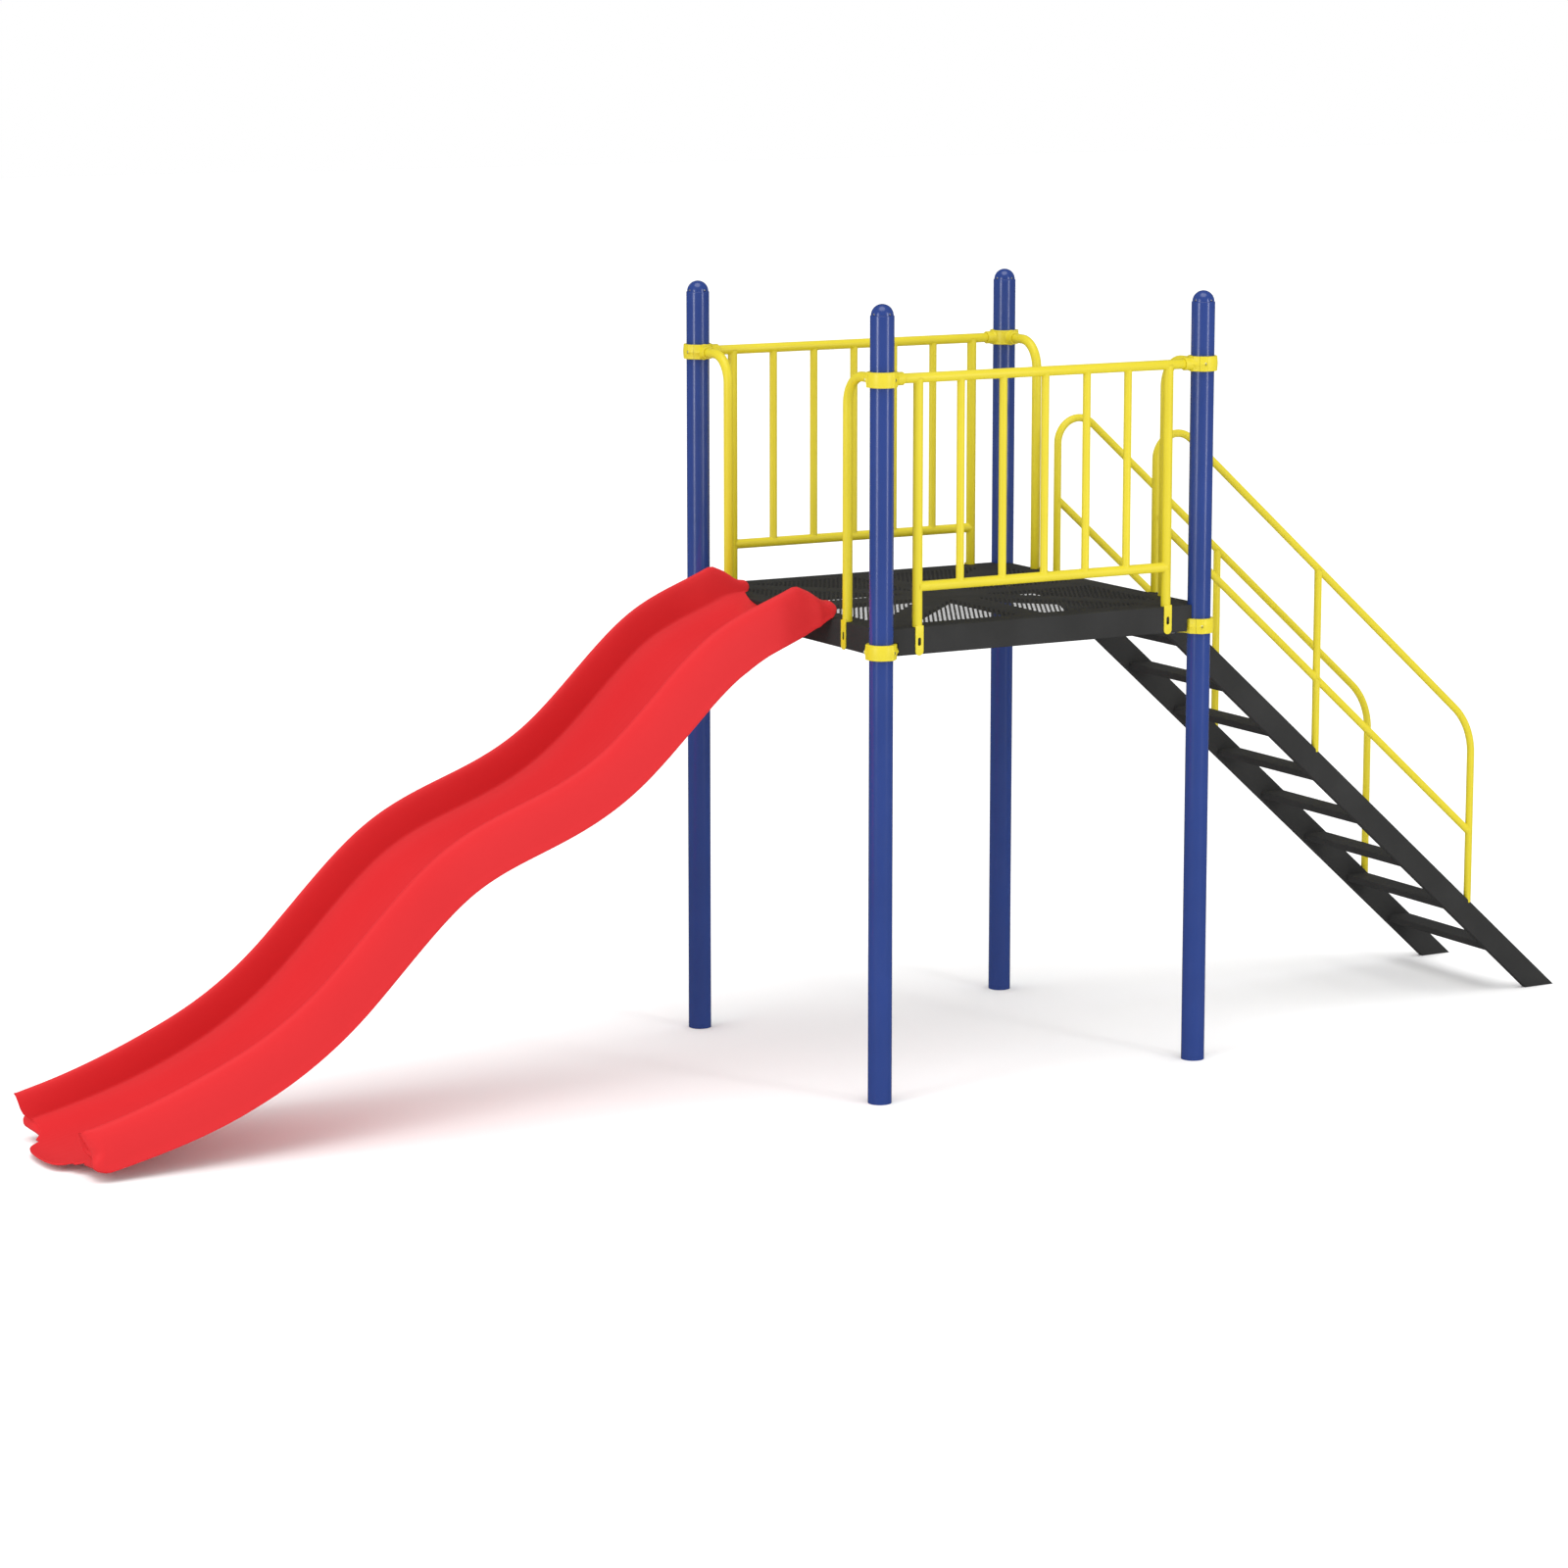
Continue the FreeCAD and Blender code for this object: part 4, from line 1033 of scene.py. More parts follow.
@dataclass
class EdgeTab:
    """Slotted flat strip under a tube's foot, outside the deck's edge."""

    width: float = 29.0
    thickness: float = 4.0
    bottom: float = 1427.0
    slot_width: float = 11.5
    slot_length: float = 26.0
    slot_z: float = 1471.0
    plane: float = 612.0
    over: float = 6.0
    edge: float = 0.9
    corner: float = 2.0
    corner_cut: float = 0.6

    def build(self, draft: Draft, centre: Points, outward: Points, deck_top: float) -> None:
        """Adds the strip: matched rings of its outline and of the slot, seen from the slot's centre.

        Args:
            draft: Draft to add to.
            centre: Point of the tower's middle plane that the strip is level with.
            outward: Unit direction out of the deck's side.
            deck_top: Height of the deck.
        """
        half = self.width / 2
        top = deck_top + self.over - self.slot_z
        low = self.bottom + half - self.slot_z
        side = np.linspace(0, 1, 16)[:-1, None]
        arc = circle(25, 0, -math.pi)
        round_end = np.stack([half * np.cos(arc), low + half * np.sin(arc)], axis=1)
        corner = self.corner
        cut = self.corner_cut
        outline = np.vstack([
            np.array([half, top - corner]) * (1 - side) + np.array([half, low]) * side,
            round_end,
            np.array([-half, low]) * (1 - side[1:]) + np.array([-half, top - corner]) * side[1:],
            [[-half, top - corner], [-half + cut, top - cut]],
            np.array([-half + corner, top]) * (1 - side) + np.array([half - corner, top]) * side,
            [[half - corner, top], [half - cut, top - cut]],
        ])[::-1]
        angle = np.arctan2(outline[:, 1], outline[:, 0])
        straight = self.slot_length / 2 - self.slot_width / 2
        radius = self.slot_width / 2
        cos, sin = np.cos(angle), np.abs(np.sin(angle))
        flat = radius / np.maximum(np.abs(cos), 1e-9)
        round_part = sin * straight + np.sqrt(np.maximum(radius**2 - (cos * straight) ** 2, 0))
        reach = np.where(flat * sin <= straight, flat, round_part)
        hole = reach[:, None] * np.stack([cos, np.sin(angle)], axis=1)
        curve = quarter(self.edge, 3)
        insets, rises = self.edge - curve[:, 0], curve[:, 1]
        hole_rings = [hole * (1 + gap / reach[:, None]) for gap in insets]
        outer_rings = [inset(outline, gap) for gap in insets]
        rings = hole_rings[::-1] + outer_rings
        heights = list(self.thickness - rises[::-1]) + list(self.thickness - rises)
        rings += outer_rings[::-1] + hole_rings
        heights += list(rises[::-1]) + list(rises)
        flat_rings = np.stack(rings)
        right = np.cross(UP, outward)
        origin = centre + outward * self.plane + UP * self.slot_z
        points = origin + flat_rings[..., :1] * right + flat_rings[..., 1:] * UP
        points = points + np.array(heights)[:, None, None] * outward
        draft.grid(points, close_rows=True, close_columns=True)


@dataclass
class Guard:
    """Welded side panel: two rails, two uprights with tabs and five balusters."""

    side: Side
    rail_radius: float = 15.875
    baluster_radius: float = 12.7
    pitch: float = 156.5
    upright_x: float = 469.0
    bottom_z: float = 1644.0
    rail_end: float = 545.0

    def build(self, deck_top: float, top_z: float) -> None:
        """Builds the panel as one piece of struts with weld fillets.

        Args:
            deck_top: Height of the deck.
            top_z: Height of the top rail's axis.
        """
        node = f"guard_{self.side.node}"
        y = self.side.value * abs(post_axis(Corner.SLIDE_LEFT)[1])
        outward = ALONG_Y * self.side.value
        draft = Draft()

        def at(x: float, z: float) -> Points:
            """Point of the panel's plane.

            Args:
                x: Distance along the panel.
                z: Height.
            Returns:
                The point.
            """
            return np.array([x, y, z])

        radius = self.rail_radius
        level = Rail(ALONG_X, radius)
        upright = Rail(UP, radius)
        strut(draft, at(-self.rail_end, top_z), at(self.rail_end, top_z), radius, None, None, RAIL_SEGMENTS)
        for end in (-1, 1):
            x = end * self.upright_x
            strut(draft, at(x, deck_top + FOOT_GAP), at(x, top_z), radius, None, level, RAIL_SEGMENTS)
            EdgeTab().build(draft, ALONG_X * x, outward, deck_top)
        ends = (at(-self.upright_x, self.bottom_z), at(self.upright_x, self.bottom_z))
        strut(draft, *ends, radius, upright, upright, RAIL_SEGMENTS)
        for step in range(-2, 3):
            x = step * self.pitch
            strut(draft, at(x, self.bottom_z), at(x, top_z), self.baluster_radius, level, level)
        draft.piece(f"{node}_panel", Slot.FRAME, [node])


@dataclass
class Hoop:
    """Entrance hoop: out of the clamp's socket, round a bend and down to its tab."""

    corner: Corner
    radius: float = 15.875
    leg_y: float = 390.0
    bend: float = 93.0
    rail_end: float = 545.0

    def build(self, deck_top: float, top_z: float) -> None:
        """Builds the hoop as one tube along line, quarter arc and line.

        Args:
            deck_top: Height of the deck.
            top_z: Height of the hoop's level run.
        """
        side_x, side_y = self.corner.value
        x = post_axis(self.corner)[0]
        across = ALONG_Y * side_y
        centre = np.array([x, side_y * (self.leg_y + self.bend), top_z - self.bend])
        arc = arc_points(centre, UP, -across, self.bend, 0, math.pi / 2, 22)
        start = np.array([x, side_y * self.rail_end, top_z])
        foot = np.array([x, side_y * self.leg_y, deck_top + FOOT_GAP])
        draft = Draft()
        pipe(draft, np.vstack([start, arc, foot]), self.radius, ALONG_X, RAIL_SEGMENTS)
        EdgeTab().build(draft, across * self.leg_y, ALONG_X * side_x, deck_top)
        node = f"hoop_{self.corner.node}"
        draft.piece(f"{node}_tube", Slot.FRAME, [node])


# ---------------------------------------------------------------- deck
@dataclass
class Deck:
    """Perforated deck skin with its folded edges."""

    half: float = 612.0
    skin: float = 0.4
    fold: float = 4.0
    depth: float = 86.0
    sheet: float = 2.5
    lip: float = 20.0
    notch: float = 38.8
    clamp_notch: float = 56.0
    clamp_top: float = 1472.5
    pitch: float = 17.0
    columns: int = 63
    rows: int = 73
    hole: float = 5.4
    rib_clear: float = 48.0
    hub_clear: float = 135.0
    margin: float = 528.0

    def skin_cells(self, draft: Draft, top: float) -> tuple[float, float]:
        """Brick pattern of cells: eight border points joined to an eight-sided hole, or a plain face.

        Args:
            draft: Draft to add to.
            top: Height of the deck.
        Returns:
            Half sizes of the patch along X and Y.
        """
        step_y = self.pitch * math.sqrt(3) / 2
        half_x = self.columns * self.pitch / 2
        half_y = self.rows * step_y / 2
        row, column = np.meshgrid(np.arange(self.rows), np.arange(self.columns + 1), indexing="ij")
        odd = row % 2
        x = (column + 0.5 - 0.5 * odd) * self.pitch - half_x
        y = (row + 0.5) * step_y - half_y
        real = (odd == 1) | (column < self.columns)
        x, y = x[real], y[real]
        border = np.array([[1, 0], [1, 1], [0, 1], [-1, 1], [-1, 0], [-1, -1], [0, -1], [1, -1]]) * 0.5
        cell_x = np.clip(x[:, None] + border[:, 0] * self.pitch, -half_x, half_x)
        cell_y = y[:, None] + border[:, 1] * step_y
        diagonal = np.minimum(np.abs(x - y), np.abs(x + y)) / math.sqrt(2)
        clear = np.minimum.reduce([np.abs(x), np.abs(y), diagonal])
        inside = np.maximum(np.abs(x), np.abs(y)) < self.margin
        open_cell = inside & (clear > self.rib_clear) & (np.hypot(x, y) > self.hub_clear)
        angle = np.arctan2(border[:, 1] * step_y, border[:, 0] * self.pitch)
        hole_x = x[:, None] + self.hole * np.cos(angle)
        hole_y = y[:, None] + self.hole * np.sin(angle)

        def at(px: Points, py: Points, z: float) -> Points:
            """Cell points at a height.

            Args:
                px: Their x.
                py: Their y.
                z: The height.
            Returns:
                The points.
            """
            return np.stack([px, py, np.full_like(px, z)], axis=-1)

        low = top - self.skin
        rings = [
            at(cell_x, cell_y, top), at(hole_x, hole_y, top),
            at(hole_x, hole_y, low), at(cell_x, cell_y, low),
        ]
        for first, second in zip(rings, rings[1:]):
            a, b = first[open_cell], second[open_cell]
            quads = np.stack([a, np.roll(a, -1, 1), np.roll(b, -1, 1), b], axis=2)
            draft.polygons(quads.reshape(-1, 4, 3))
        draft.polygons(rings[0][~open_cell])
        draft.polygons(rings[3][~open_cell][:, ::-1])
        return half_x, half_y

    def rim_radius(self, angle: Points) -> Points:
        """Distance from the deck's middle to its outline: the square, or the near side of a post's notch.

        Args:
            angle: Directions from the middle.
        Returns:
            The distances.
        """
        square = self.half / np.maximum(np.abs(np.cos(angle)), np.abs(np.sin(angle)))
        reach = abs(post_axis(Corner.SLIDE_LEFT)[0]) * math.sqrt(2)
        off = (angle % (math.pi / 2)) - math.pi / 4
        inside = self.notch**2 - (reach * np.sin(off)) ** 2
        arc = reach * np.cos(off) - np.sqrt(np.maximum(inside, 0))
        return np.where(inside > 0, np.minimum(square, arc), square)

    def edge_end(self, notch: float) -> float:
        """Where the deck's outer face runs into a corner notch.

        Args:
            notch: Radius of the notch round the post's axis.
        Returns:
            Distance of that point from the face's middle.
        """
        reach = abs(post_axis(Corner.SLIDE_LEFT)[0])
        return reach - math.sqrt(notch**2 - (self.half - reach) ** 2)

    def skin_frame(self, draft: Draft, half_x: float, half_y: float, top: float) -> None:
        """Plain margin round the cells, folded down at the outline, as matched rings seen from the middle.

        Args:
            draft: Draft to add to.
            half_x: Half size of the cells' patch along X.
            half_y: Half size of the cells' patch along Y.
            top: Height of the deck.
        """
        eighth = math.pi / 4
        edge_turn = eighth - math.atan2(self.edge_end(self.notch), self.half)
        offsets = np.concatenate([
            np.linspace(-eighth, -edge_turn, 28)[:-1],
            np.linspace(-edge_turn, edge_turn, 19),
            np.linspace(edge_turn, eighth, 28)[1:-1],
        ])
        corner_turn = math.atan2(half_y, half_x) - eighth
        angle = np.concatenate([offsets + eighth + quarter_turn * 2 * eighth for quarter_turn in range(4)])
        corners = np.array([1, 3, 5, 7]) * eighth + np.array([1, -1, 1, -1]) * corner_turn
        angle = np.sort(np.concatenate([angle, corners]))
        cos, sin = np.cos(angle), np.sin(angle)
        inner = 1 / np.maximum(np.abs(cos) / half_x, np.abs(sin) / half_y)
        outer = self.rim_radius(angle)
        curve = quarter(self.fold, 5)
        inner_curve = quarter(self.fold - self.skin, 4)
        radii = [inner] + [outer - self.fold + out for out in curve[:, 0]]
        heights = [top] + list(top - curve[:, 1])
        radii += [outer - self.fold + out for out in inner_curve[::-1, 0]] + [inner]
        heights += list(top - self.skin - inner_curve[::-1, 1]) + [top - self.skin]
        radius = np.stack(radii)
        z = np.repeat(np.array(heights)[:, None], len(angle), 1)
        draft.grid(np.stack([radius * cos, radius * sin, z], axis=-1), close_columns=True)

    def edge(self, name: str, along: Points, out: Points, top: float) -> None:
        """Folded edge: face, bottom bend and return lip, cut shorter where it passes a clamp.

        Args:
            name: CAD node that the piece stands for.
            along: Unit direction of the run.
            out: Unit direction out of the deck.
            top: Height of the deck.
        """
        bottom = top - self.depth
        outer_bend = quarter(self.fold, 5)
        inner_bend = quarter(self.fold - self.sheet + 0.5, 4)
        low = bottom + self.fold
        inside = self.half - self.sheet
        step = self.clamp_top
        above, below = step + 0.05, step - 0.05
        face = np.array([[self.half, top - self.fold], [self.half, above], [self.half, below]])
        bend = outer_bend[::-1] + [self.half - self.fold, low - self.fold]
        lip = [[self.half - self.lip, bottom], [self.half - self.lip, bottom + self.sheet]]
        back_x = inside - inner_bend[-1, 0] + inner_bend[:, 0]
        back = np.stack([back_x, bottom + self.sheet + inner_bend[:, 1]], axis=1)
        rear = [[inside, below], [inside, above], [inside, top - self.skin - 0.3]]
        profile = np.vstack([face, bend, lip, back, rear])
        end = np.where(profile[:, 1] > step, self.edge_end(self.notch), self.edge_end(self.clamp_notch))
        draft = Draft()
        channel(draft, profile, np.stack([-end, end], axis=1), along, out)
        draft.piece(f"{name}_fascia", Slot.DECK, [name])

    def build(self) -> float:
        """Builds the skin and the four edges.

        Returns:
            Height of the deck.
        """
        top = node_box("deck_sheet")[1][2]
        draft = Draft()
        half_x, half_y = self.skin_cells(draft, top)
        self.skin_frame(draft, half_x, half_y, top)
        draft.piece("deck_perforated_skin", Slot.DECK, ["deck_sheet"])
        self.edge("deck_edge_slide", ALONG_Y, -ALONG_X, top)
        self.edge("deck_edge_stair", ALONG_Y, ALONG_X, top)
        self.edge("deck_edge_left", ALONG_X, -ALONG_Y, top)
        self.edge("deck_edge_right", ALONG_X, ALONG_Y, top)
        return top


# ---------------------------------------------------------------- stairs
@dataclass
class Stairs:
    """Two tube stringers and eight folded treads."""

    slope: float = 0.8865
    toe: float = 2345.0
    heel: float = 2223.0
    upper_end: float = 612.0
    out: float = 310.0
    width: float = 25.0
    corner: float = 2.5
    steps: int = 9
    tread_depth: float = 87.0
    tread_height: float = 23.0
    tread_sheet: float = 3.0
    tread_round: float = 3.5
    tread_inner_round: float = 1.0
    tread_weld: float = 0.4
    set_back: float = 5.0

    def stringer(self, side: Side, deck_top: float) -> None:
        """Builds one stringer as a slab of its side outline.

        Args:
            side: Side that it stands on.
            deck_top: Height of the deck.
        """
        outline = np.array([
            [self.toe, 0.0], [self.toe - deck_top / self.slope, deck_top], [self.upper_end, deck_top],
            [self.upper_end, (self.heel - self.upper_end) * self.slope], [self.heel, 0.0],
        ])
        draft = Draft()
        near = self.out if side is Side.RIGHT else self.width - self.out
        slab(draft, outline, ALONG_Y * near, ALONG_X, UP, self.width, self.corner)
        draft.piece(f"stringer_{side.node}_tube", Slot.DECK, [f"stringer_{side.node}"])

    def tread(self, step: int, deck_top: float) -> None:
        """Builds one tread as a channel with rounded nosing and back edge.

        Args:
            step: Number of the tread, from 1 at the top.
            deck_top: Height of the deck.
        """
        top = deck_top * (self.steps - step) / self.steps
        nose = self.toe - top / self.slope - self.set_back
        back = nose - self.tread_depth
        low = top - self.tread_height
        bend = quarter(self.tread_round, 4)
        inner = quarter(self.tread_inner_round, 2)
        web = self.tread_sheet + self.tread_inner_round
        sheet = self.tread_sheet
        front = np.stack([nose - self.tread_round + bend[:, 0], top - bend[:, 1]], axis=1)
        rear = np.stack([back + self.tread_round - bend[:, 0], top - bend[:, 1]], axis=1)[::-1]
        inside_front = np.stack([nose - web + inner[:, 0], top - sheet - inner[:, 1]], axis=1)[::-1]
        inside_rear = np.stack([back + web - inner[:, 0], top - sheet - inner[:, 1]], axis=1)
        profile = np.vstack([
            front, [[nose, low], [nose - sheet, low]], inside_front, inside_rear,
            [[back + sheet, low], [back, low]], rear,
        ])
        half = self.out - self.width + self.tread_weld
        ends = np.tile([-half, half], (len(profile), 1))
        draft = Draft()
        channel(draft, profile, ends, ALONG_Y, ALONG_X)
        draft.piece(f"tread_{step}_pan", Slot.DECK, [f"tread_{step}"])

    def build(self, deck_top: float) -> None:
        """Builds both stringers and all treads.

        Args:
            deck_top: Height of the deck.
        """
        for side in Side:
            self.stringer(side, deck_top)
        for step in range(1, self.steps):
            self.tread(step, deck_top)


@dataclass
class Handrail:
    """Bent handrail that stands on a stringer, with a mid rail and a middle upright."""

    side: Side
    radius: float = 12.7
    y: float = 298.0
    top_x: float = 629.3
    foot_x: float = 1961.0
    rise: float = 2697.9
    mid_rise: float = 2321.9
    loop: float = 82.6
    bend: float = 222.8
    sunk: float = 8.0

    def build(self, stairs: Stairs, deck_top: float) -> None:
        """Builds the main tube as one path, then the two tubes welded into it.

        Args:
            stairs: Stairs that the handrail stands on.
            deck_top: Height of the deck.
        """
        y = self.side.value * self.y
        angle = math.atan(stairs.slope)
        down = np.array([math.cos(angle), 0, -math.sin(angle)])

        def line_z(x: float, rise: float) -> float:
            """Height of a sloping rail's axis.

            Args:
                x: Where along the stairs.
                rise: Height of the axis at x = 0.
            Returns:
                The height at x.
            """
            return rise - stairs.slope * x

        centre_x = self.top_x + self.loop
        slack = self.loop / math.cos(angle)
        upper = np.array([centre_x, y, line_z(centre_x, self.rise) - slack])
        centre_x = self.foot_x - self.bend
        lower = np.array([centre_x, y, line_z(centre_x, self.rise) - self.bend / math.cos(angle)])
        turn = math.pi / 2 - angle
        loop = arc_points(upper, ALONG_X, UP, self.loop, math.pi, turn, 30)
        corner = arc_points(lower, ALONG_X, UP, self.bend, turn, 0, 24)
        top_foot = np.array([self.top_x, y, deck_top + FOOT_GAP])
        low_foot = np.array([self.foot_x, y, (stairs.toe - self.foot_x) * stairs.slope - self.sunk])
        draft = Draft()
        pipe(draft, np.vstack([top_foot, loop, corner, low_foot]), self.radius, ALONG_Y)

        leg = Rail(UP, self.radius)
        sloping = Rail(down, self.radius)
        mid_start = np.array([self.top_x, y, line_z(self.top_x, self.mid_rise)])
        mid_end = np.array([self.foot_x, y, line_z(self.foot_x, self.mid_rise)])
        strut(draft, mid_start, mid_end, self.radius, leg, leg)
        middle_x = (self.top_x + self.foot_x) / 2
        crossing = np.array([middle_x, y, line_z(middle_x, self.mid_rise)])
        high = np.array([middle_x, y, line_z(middle_x, self.rise)])
        foot = np.array([middle_x, y, (stairs.toe - middle_x) * stairs.slope - self.sunk])
        strut(draft, crossing, high, self.radius, sloping, sloping)
        strut(draft, foot, crossing, self.radius, None, sloping)
        node = f"handrail_{self.side.node}"
        draft.piece(f"{node}_tube", Slot.FRAME, [node])


# ---------------------------------------------------------------- chute
@dataclass
class Chute:
    """One-piece wave chute: bed, walls, rolled crests and outer flanges.

    The section at a station x of the crest line is square to that line: a point (y, drop) lies at
    x + drop * sin(slope), y, crest - drop * cos(slope).
    """

    shell: float = 6.5
    crest_half: float = 277.5
    flange_half: float = 315.6
    crease_half: float = 262.7
    crease_drop: float = 109.5
    bed_drop: float = 151.0
    flange_drop: float = 160.0
    shrink: float = 0.15
    stations: int = 150
    nose: float = 64.0
    thin: float = 0.8
    deck_x: float = -612.0
    shallow_from: float = -2700.0
    shallow_run: float = 450.0
    flare: float = 3.0
    flare_key: float = 2.86
    smoothing: int = 31
    front_run: float = 60.0
    rim_bulge: float = 0.7
    cap_from: float = 0.55
    cap_back: float = 3.0
    cap_over: float = 1.0
    upright_keys: tuple[float, float] = (0.85, 1.1)
    thickening: float = 0.7

    # crest line: x, height, degrees of climb towards the deck
    crest: tuple[tuple[float, float, float], ...] = (
        (-3215.0, 153.5, 0.0), (-3160.0, 155.1, 11.6), (-2670.0, 322.0, 24.4), (-2328.0, 555.0, 44.2),
        (-1987.0, 873.5, 35.2), (-1414.0, 1150.3, 36.2), (-1021.0, 1496.0, 32.3), (-750.0, 1616.5, 23.5),
        (-585.0, 1646.0, 4.0),
    )
    # top of the walls beside the entry, under the crest line: x, height
    saddle: tuple[tuple[float, float], ...] = (
        (-760.0, 1640.0), (-743.0, 1631.0), (-728.0, 1625.0), (-685.0, 1604.0), (-650.0, 1580.0),
        (-636.0, 1573.5), (-611.0, 1570.5), (-600.0, 1566.0), (-594.0, 1561.0), (-580.0, 1552.0),
    )
    # outer end of the walls over the deck: height, x
    entry: tuple[tuple[float, float], ...] = (
        (1508.0, -612.0), (1516.5, -612.0), (1522.0, -610.0), (1534.0, -599.0), (1545.0, -595.0),
        (1556.0, -595.0), (1564.0, -599.0), (1571.0, -606.0),
    )
    # front end, along the half profile from the bed's middle (0) over crease (1) and crest (2) to the rim (3)
    front: tuple[tuple[float, float], ...] = (
        (0.0, -3190.0), (0.15, -3187.0), (0.25, -3178.0), (0.35, -3164.0), (0.42, -3150.0), (0.48, -3135.0),
        (0.52, -3124.0), (0.56, -3114.0), (0.6, -3107.0), (0.7, -3101.0), (0.85, -3101.0), (0.95, -3106.0),
        (1.02, -3120.0), (1.12, -3138.0), (1.25, -3148.0), (1.5, -3156.0), (1.75, -3161.0), (2.0, -3163.0),
        (2.1, -3160.0), (2.25, -3154.0), (2.4, -3147.0), (2.5, -3141.0), (2.6, -3134.0), (2.7, -3124.0),
        (2.76, -3123.0), (2.82, -3128.0), (2.88, -3127.0), (2.93, -3121.0), (2.97, -3111.0), (3.0, -3095.0),
    )
    # drop of the flange's rim under the crest line towards the deck: x, drop
    rim_drop: tuple[tuple[float, float], ...] = (
        (-1000.0, 160.0), (-900.0, 153.0), (-780.0, 150.0), (-680.0, 143.0), (-622.0, 122.0),
    )
    # flange end at the front, along the profile: how far back it starts to turn in, and how far in it comes
    turn_length: tuple[tuple[float, float], ...] = (
        (2.0, 64.0), (2.3, 64.0), (2.6, 48.0), (2.8, 30.0), (3.0, 26.0),
    )
    turn_in: tuple[tuple[float, float], ...] = (
        (2.0, 277.5), (2.12, 270.0), (2.3, 266.5), (2.62, 266.5), (2.74, 280.0), (2.82, 294.0), (3.0, 298.0),
    )

    def crest_at(self, x: Points) -> tuple[Points, Points]:
        """Crest line, by cubic pieces that keep the stated slopes.

        Args:
            x: Stations.
        Returns:
            Height and slope angle at every station.
        """
        knots = np.array(self.crest)
        piece = np.clip(np.searchsorted(knots[:, 0], x, side="right") - 1, 0, len(knots) - 2)
        x0, z0, a0 = knots[piece].T if x.ndim == 1 else np.moveaxis(knots[piece], -1, 0)
        x1, z1, a1 = knots[piece + 1].T if x.ndim == 1 else np.moveaxis(knots[piece + 1], -1, 0)
        run = x1 - x0
        t = (x - x0) / run
        m0 = np.tan(np.radians(a0)) * run
        m1 = np.tan(np.radians(a1)) * run
        z = (2 * t**3 - 3 * t**2 + 1) * z0 + (t**3 - 2 * t**2 + t) * m0
        z = z + (3 * t**2 - 2 * t**3) * z1 + (t**3 - t**2) * m1
        rate = (6 * t**2 - 6 * t) * z0 + (3 * t**2 - 4 * t + 1) * m0
        rate = rate + (6 * t - 6 * t**2) * z1 + (3 * t**2 - 2 * t) * m1
        return z, np.arctan(rate / run)

    def half_profile(self) -> tuple[Points, Points]:
        """Half section from the middle of the bed to the rim: cubic curves, smoothed over the crease.

        Returns:
            Keys from 0 to 3 and the (y, drop) points.
        """
        crease = (self.crease_half, self.crease_drop)
        crest = (self.crest_half, 0)
        rim = (self.flange_half, self.flange_drop)
        curves = [
            [(0, self.bed_drop), (150, self.bed_drop), (215, 148), crease],
            [crease, (self.crease_half, 30), (self.crease_half + 0.5, 0), crest],
            [crest, (303.5, 0), (self.flange_half, 65), rim],
        ]
        keys = []
        points = []
        for number, poles in enumerate(curves):
            t = np.linspace(0, 1, 241)[:, None]
            p = np.array(poles, float)
            u = 1 - t
            curve = u**3 * p[0] + 3 * t * u**2 * p[1] + 3 * t**2 * u * p[2] + t**3 * p[3]
            keys.append(number + t[:-1, 0])
            points.append(curve[:-1])
        keys.append(np.array([3.0]))
        points.append(np.array([rim]))
        key = np.concatenate(keys)
        line = np.concatenate(points)
        length = np.concatenate([[0], np.cumsum(np.linalg.norm(np.diff(line, axis=0), axis=1))])
        even = np.linspace(0, length[-1], 1200)
        dense = np.stack([np.interp(even, length, line[:, 0]), np.interp(even, length, line[:, 1])], axis=1)
        window = self.smoothing
        before = dense[window // 2:0:-1] * [-1, 1]
        after = 2 * dense[-1] - dense[-2:-window // 2 - 1:-1]
        padded = np.concatenate([before, dense, after])
        kernel = np.hanning(window + 2)[1:-1]
        kernel /= kernel.sum()
        smooth = np.stack([np.convolve(padded[:, axis], kernel, mode="valid") for axis in (0, 1)], axis=1)
        wanted = np.concatenate([
            np.linspace(0, 0.9, 22)[:-1], np.linspace(0.9, 1.2, 12)[:-1], np.linspace(1.2, 1.75, 8)[:-1],
            np.linspace(1.75, 2.3, 16)[:-1], np.linspace(2.3, 3, 20),
        ])
        at = np.interp(wanted, key, length)
        profile = np.stack([np.interp(at, even, smooth[:, 0]), np.interp(at, even, smooth[:, 1])], axis=1)
        return wanted, profile

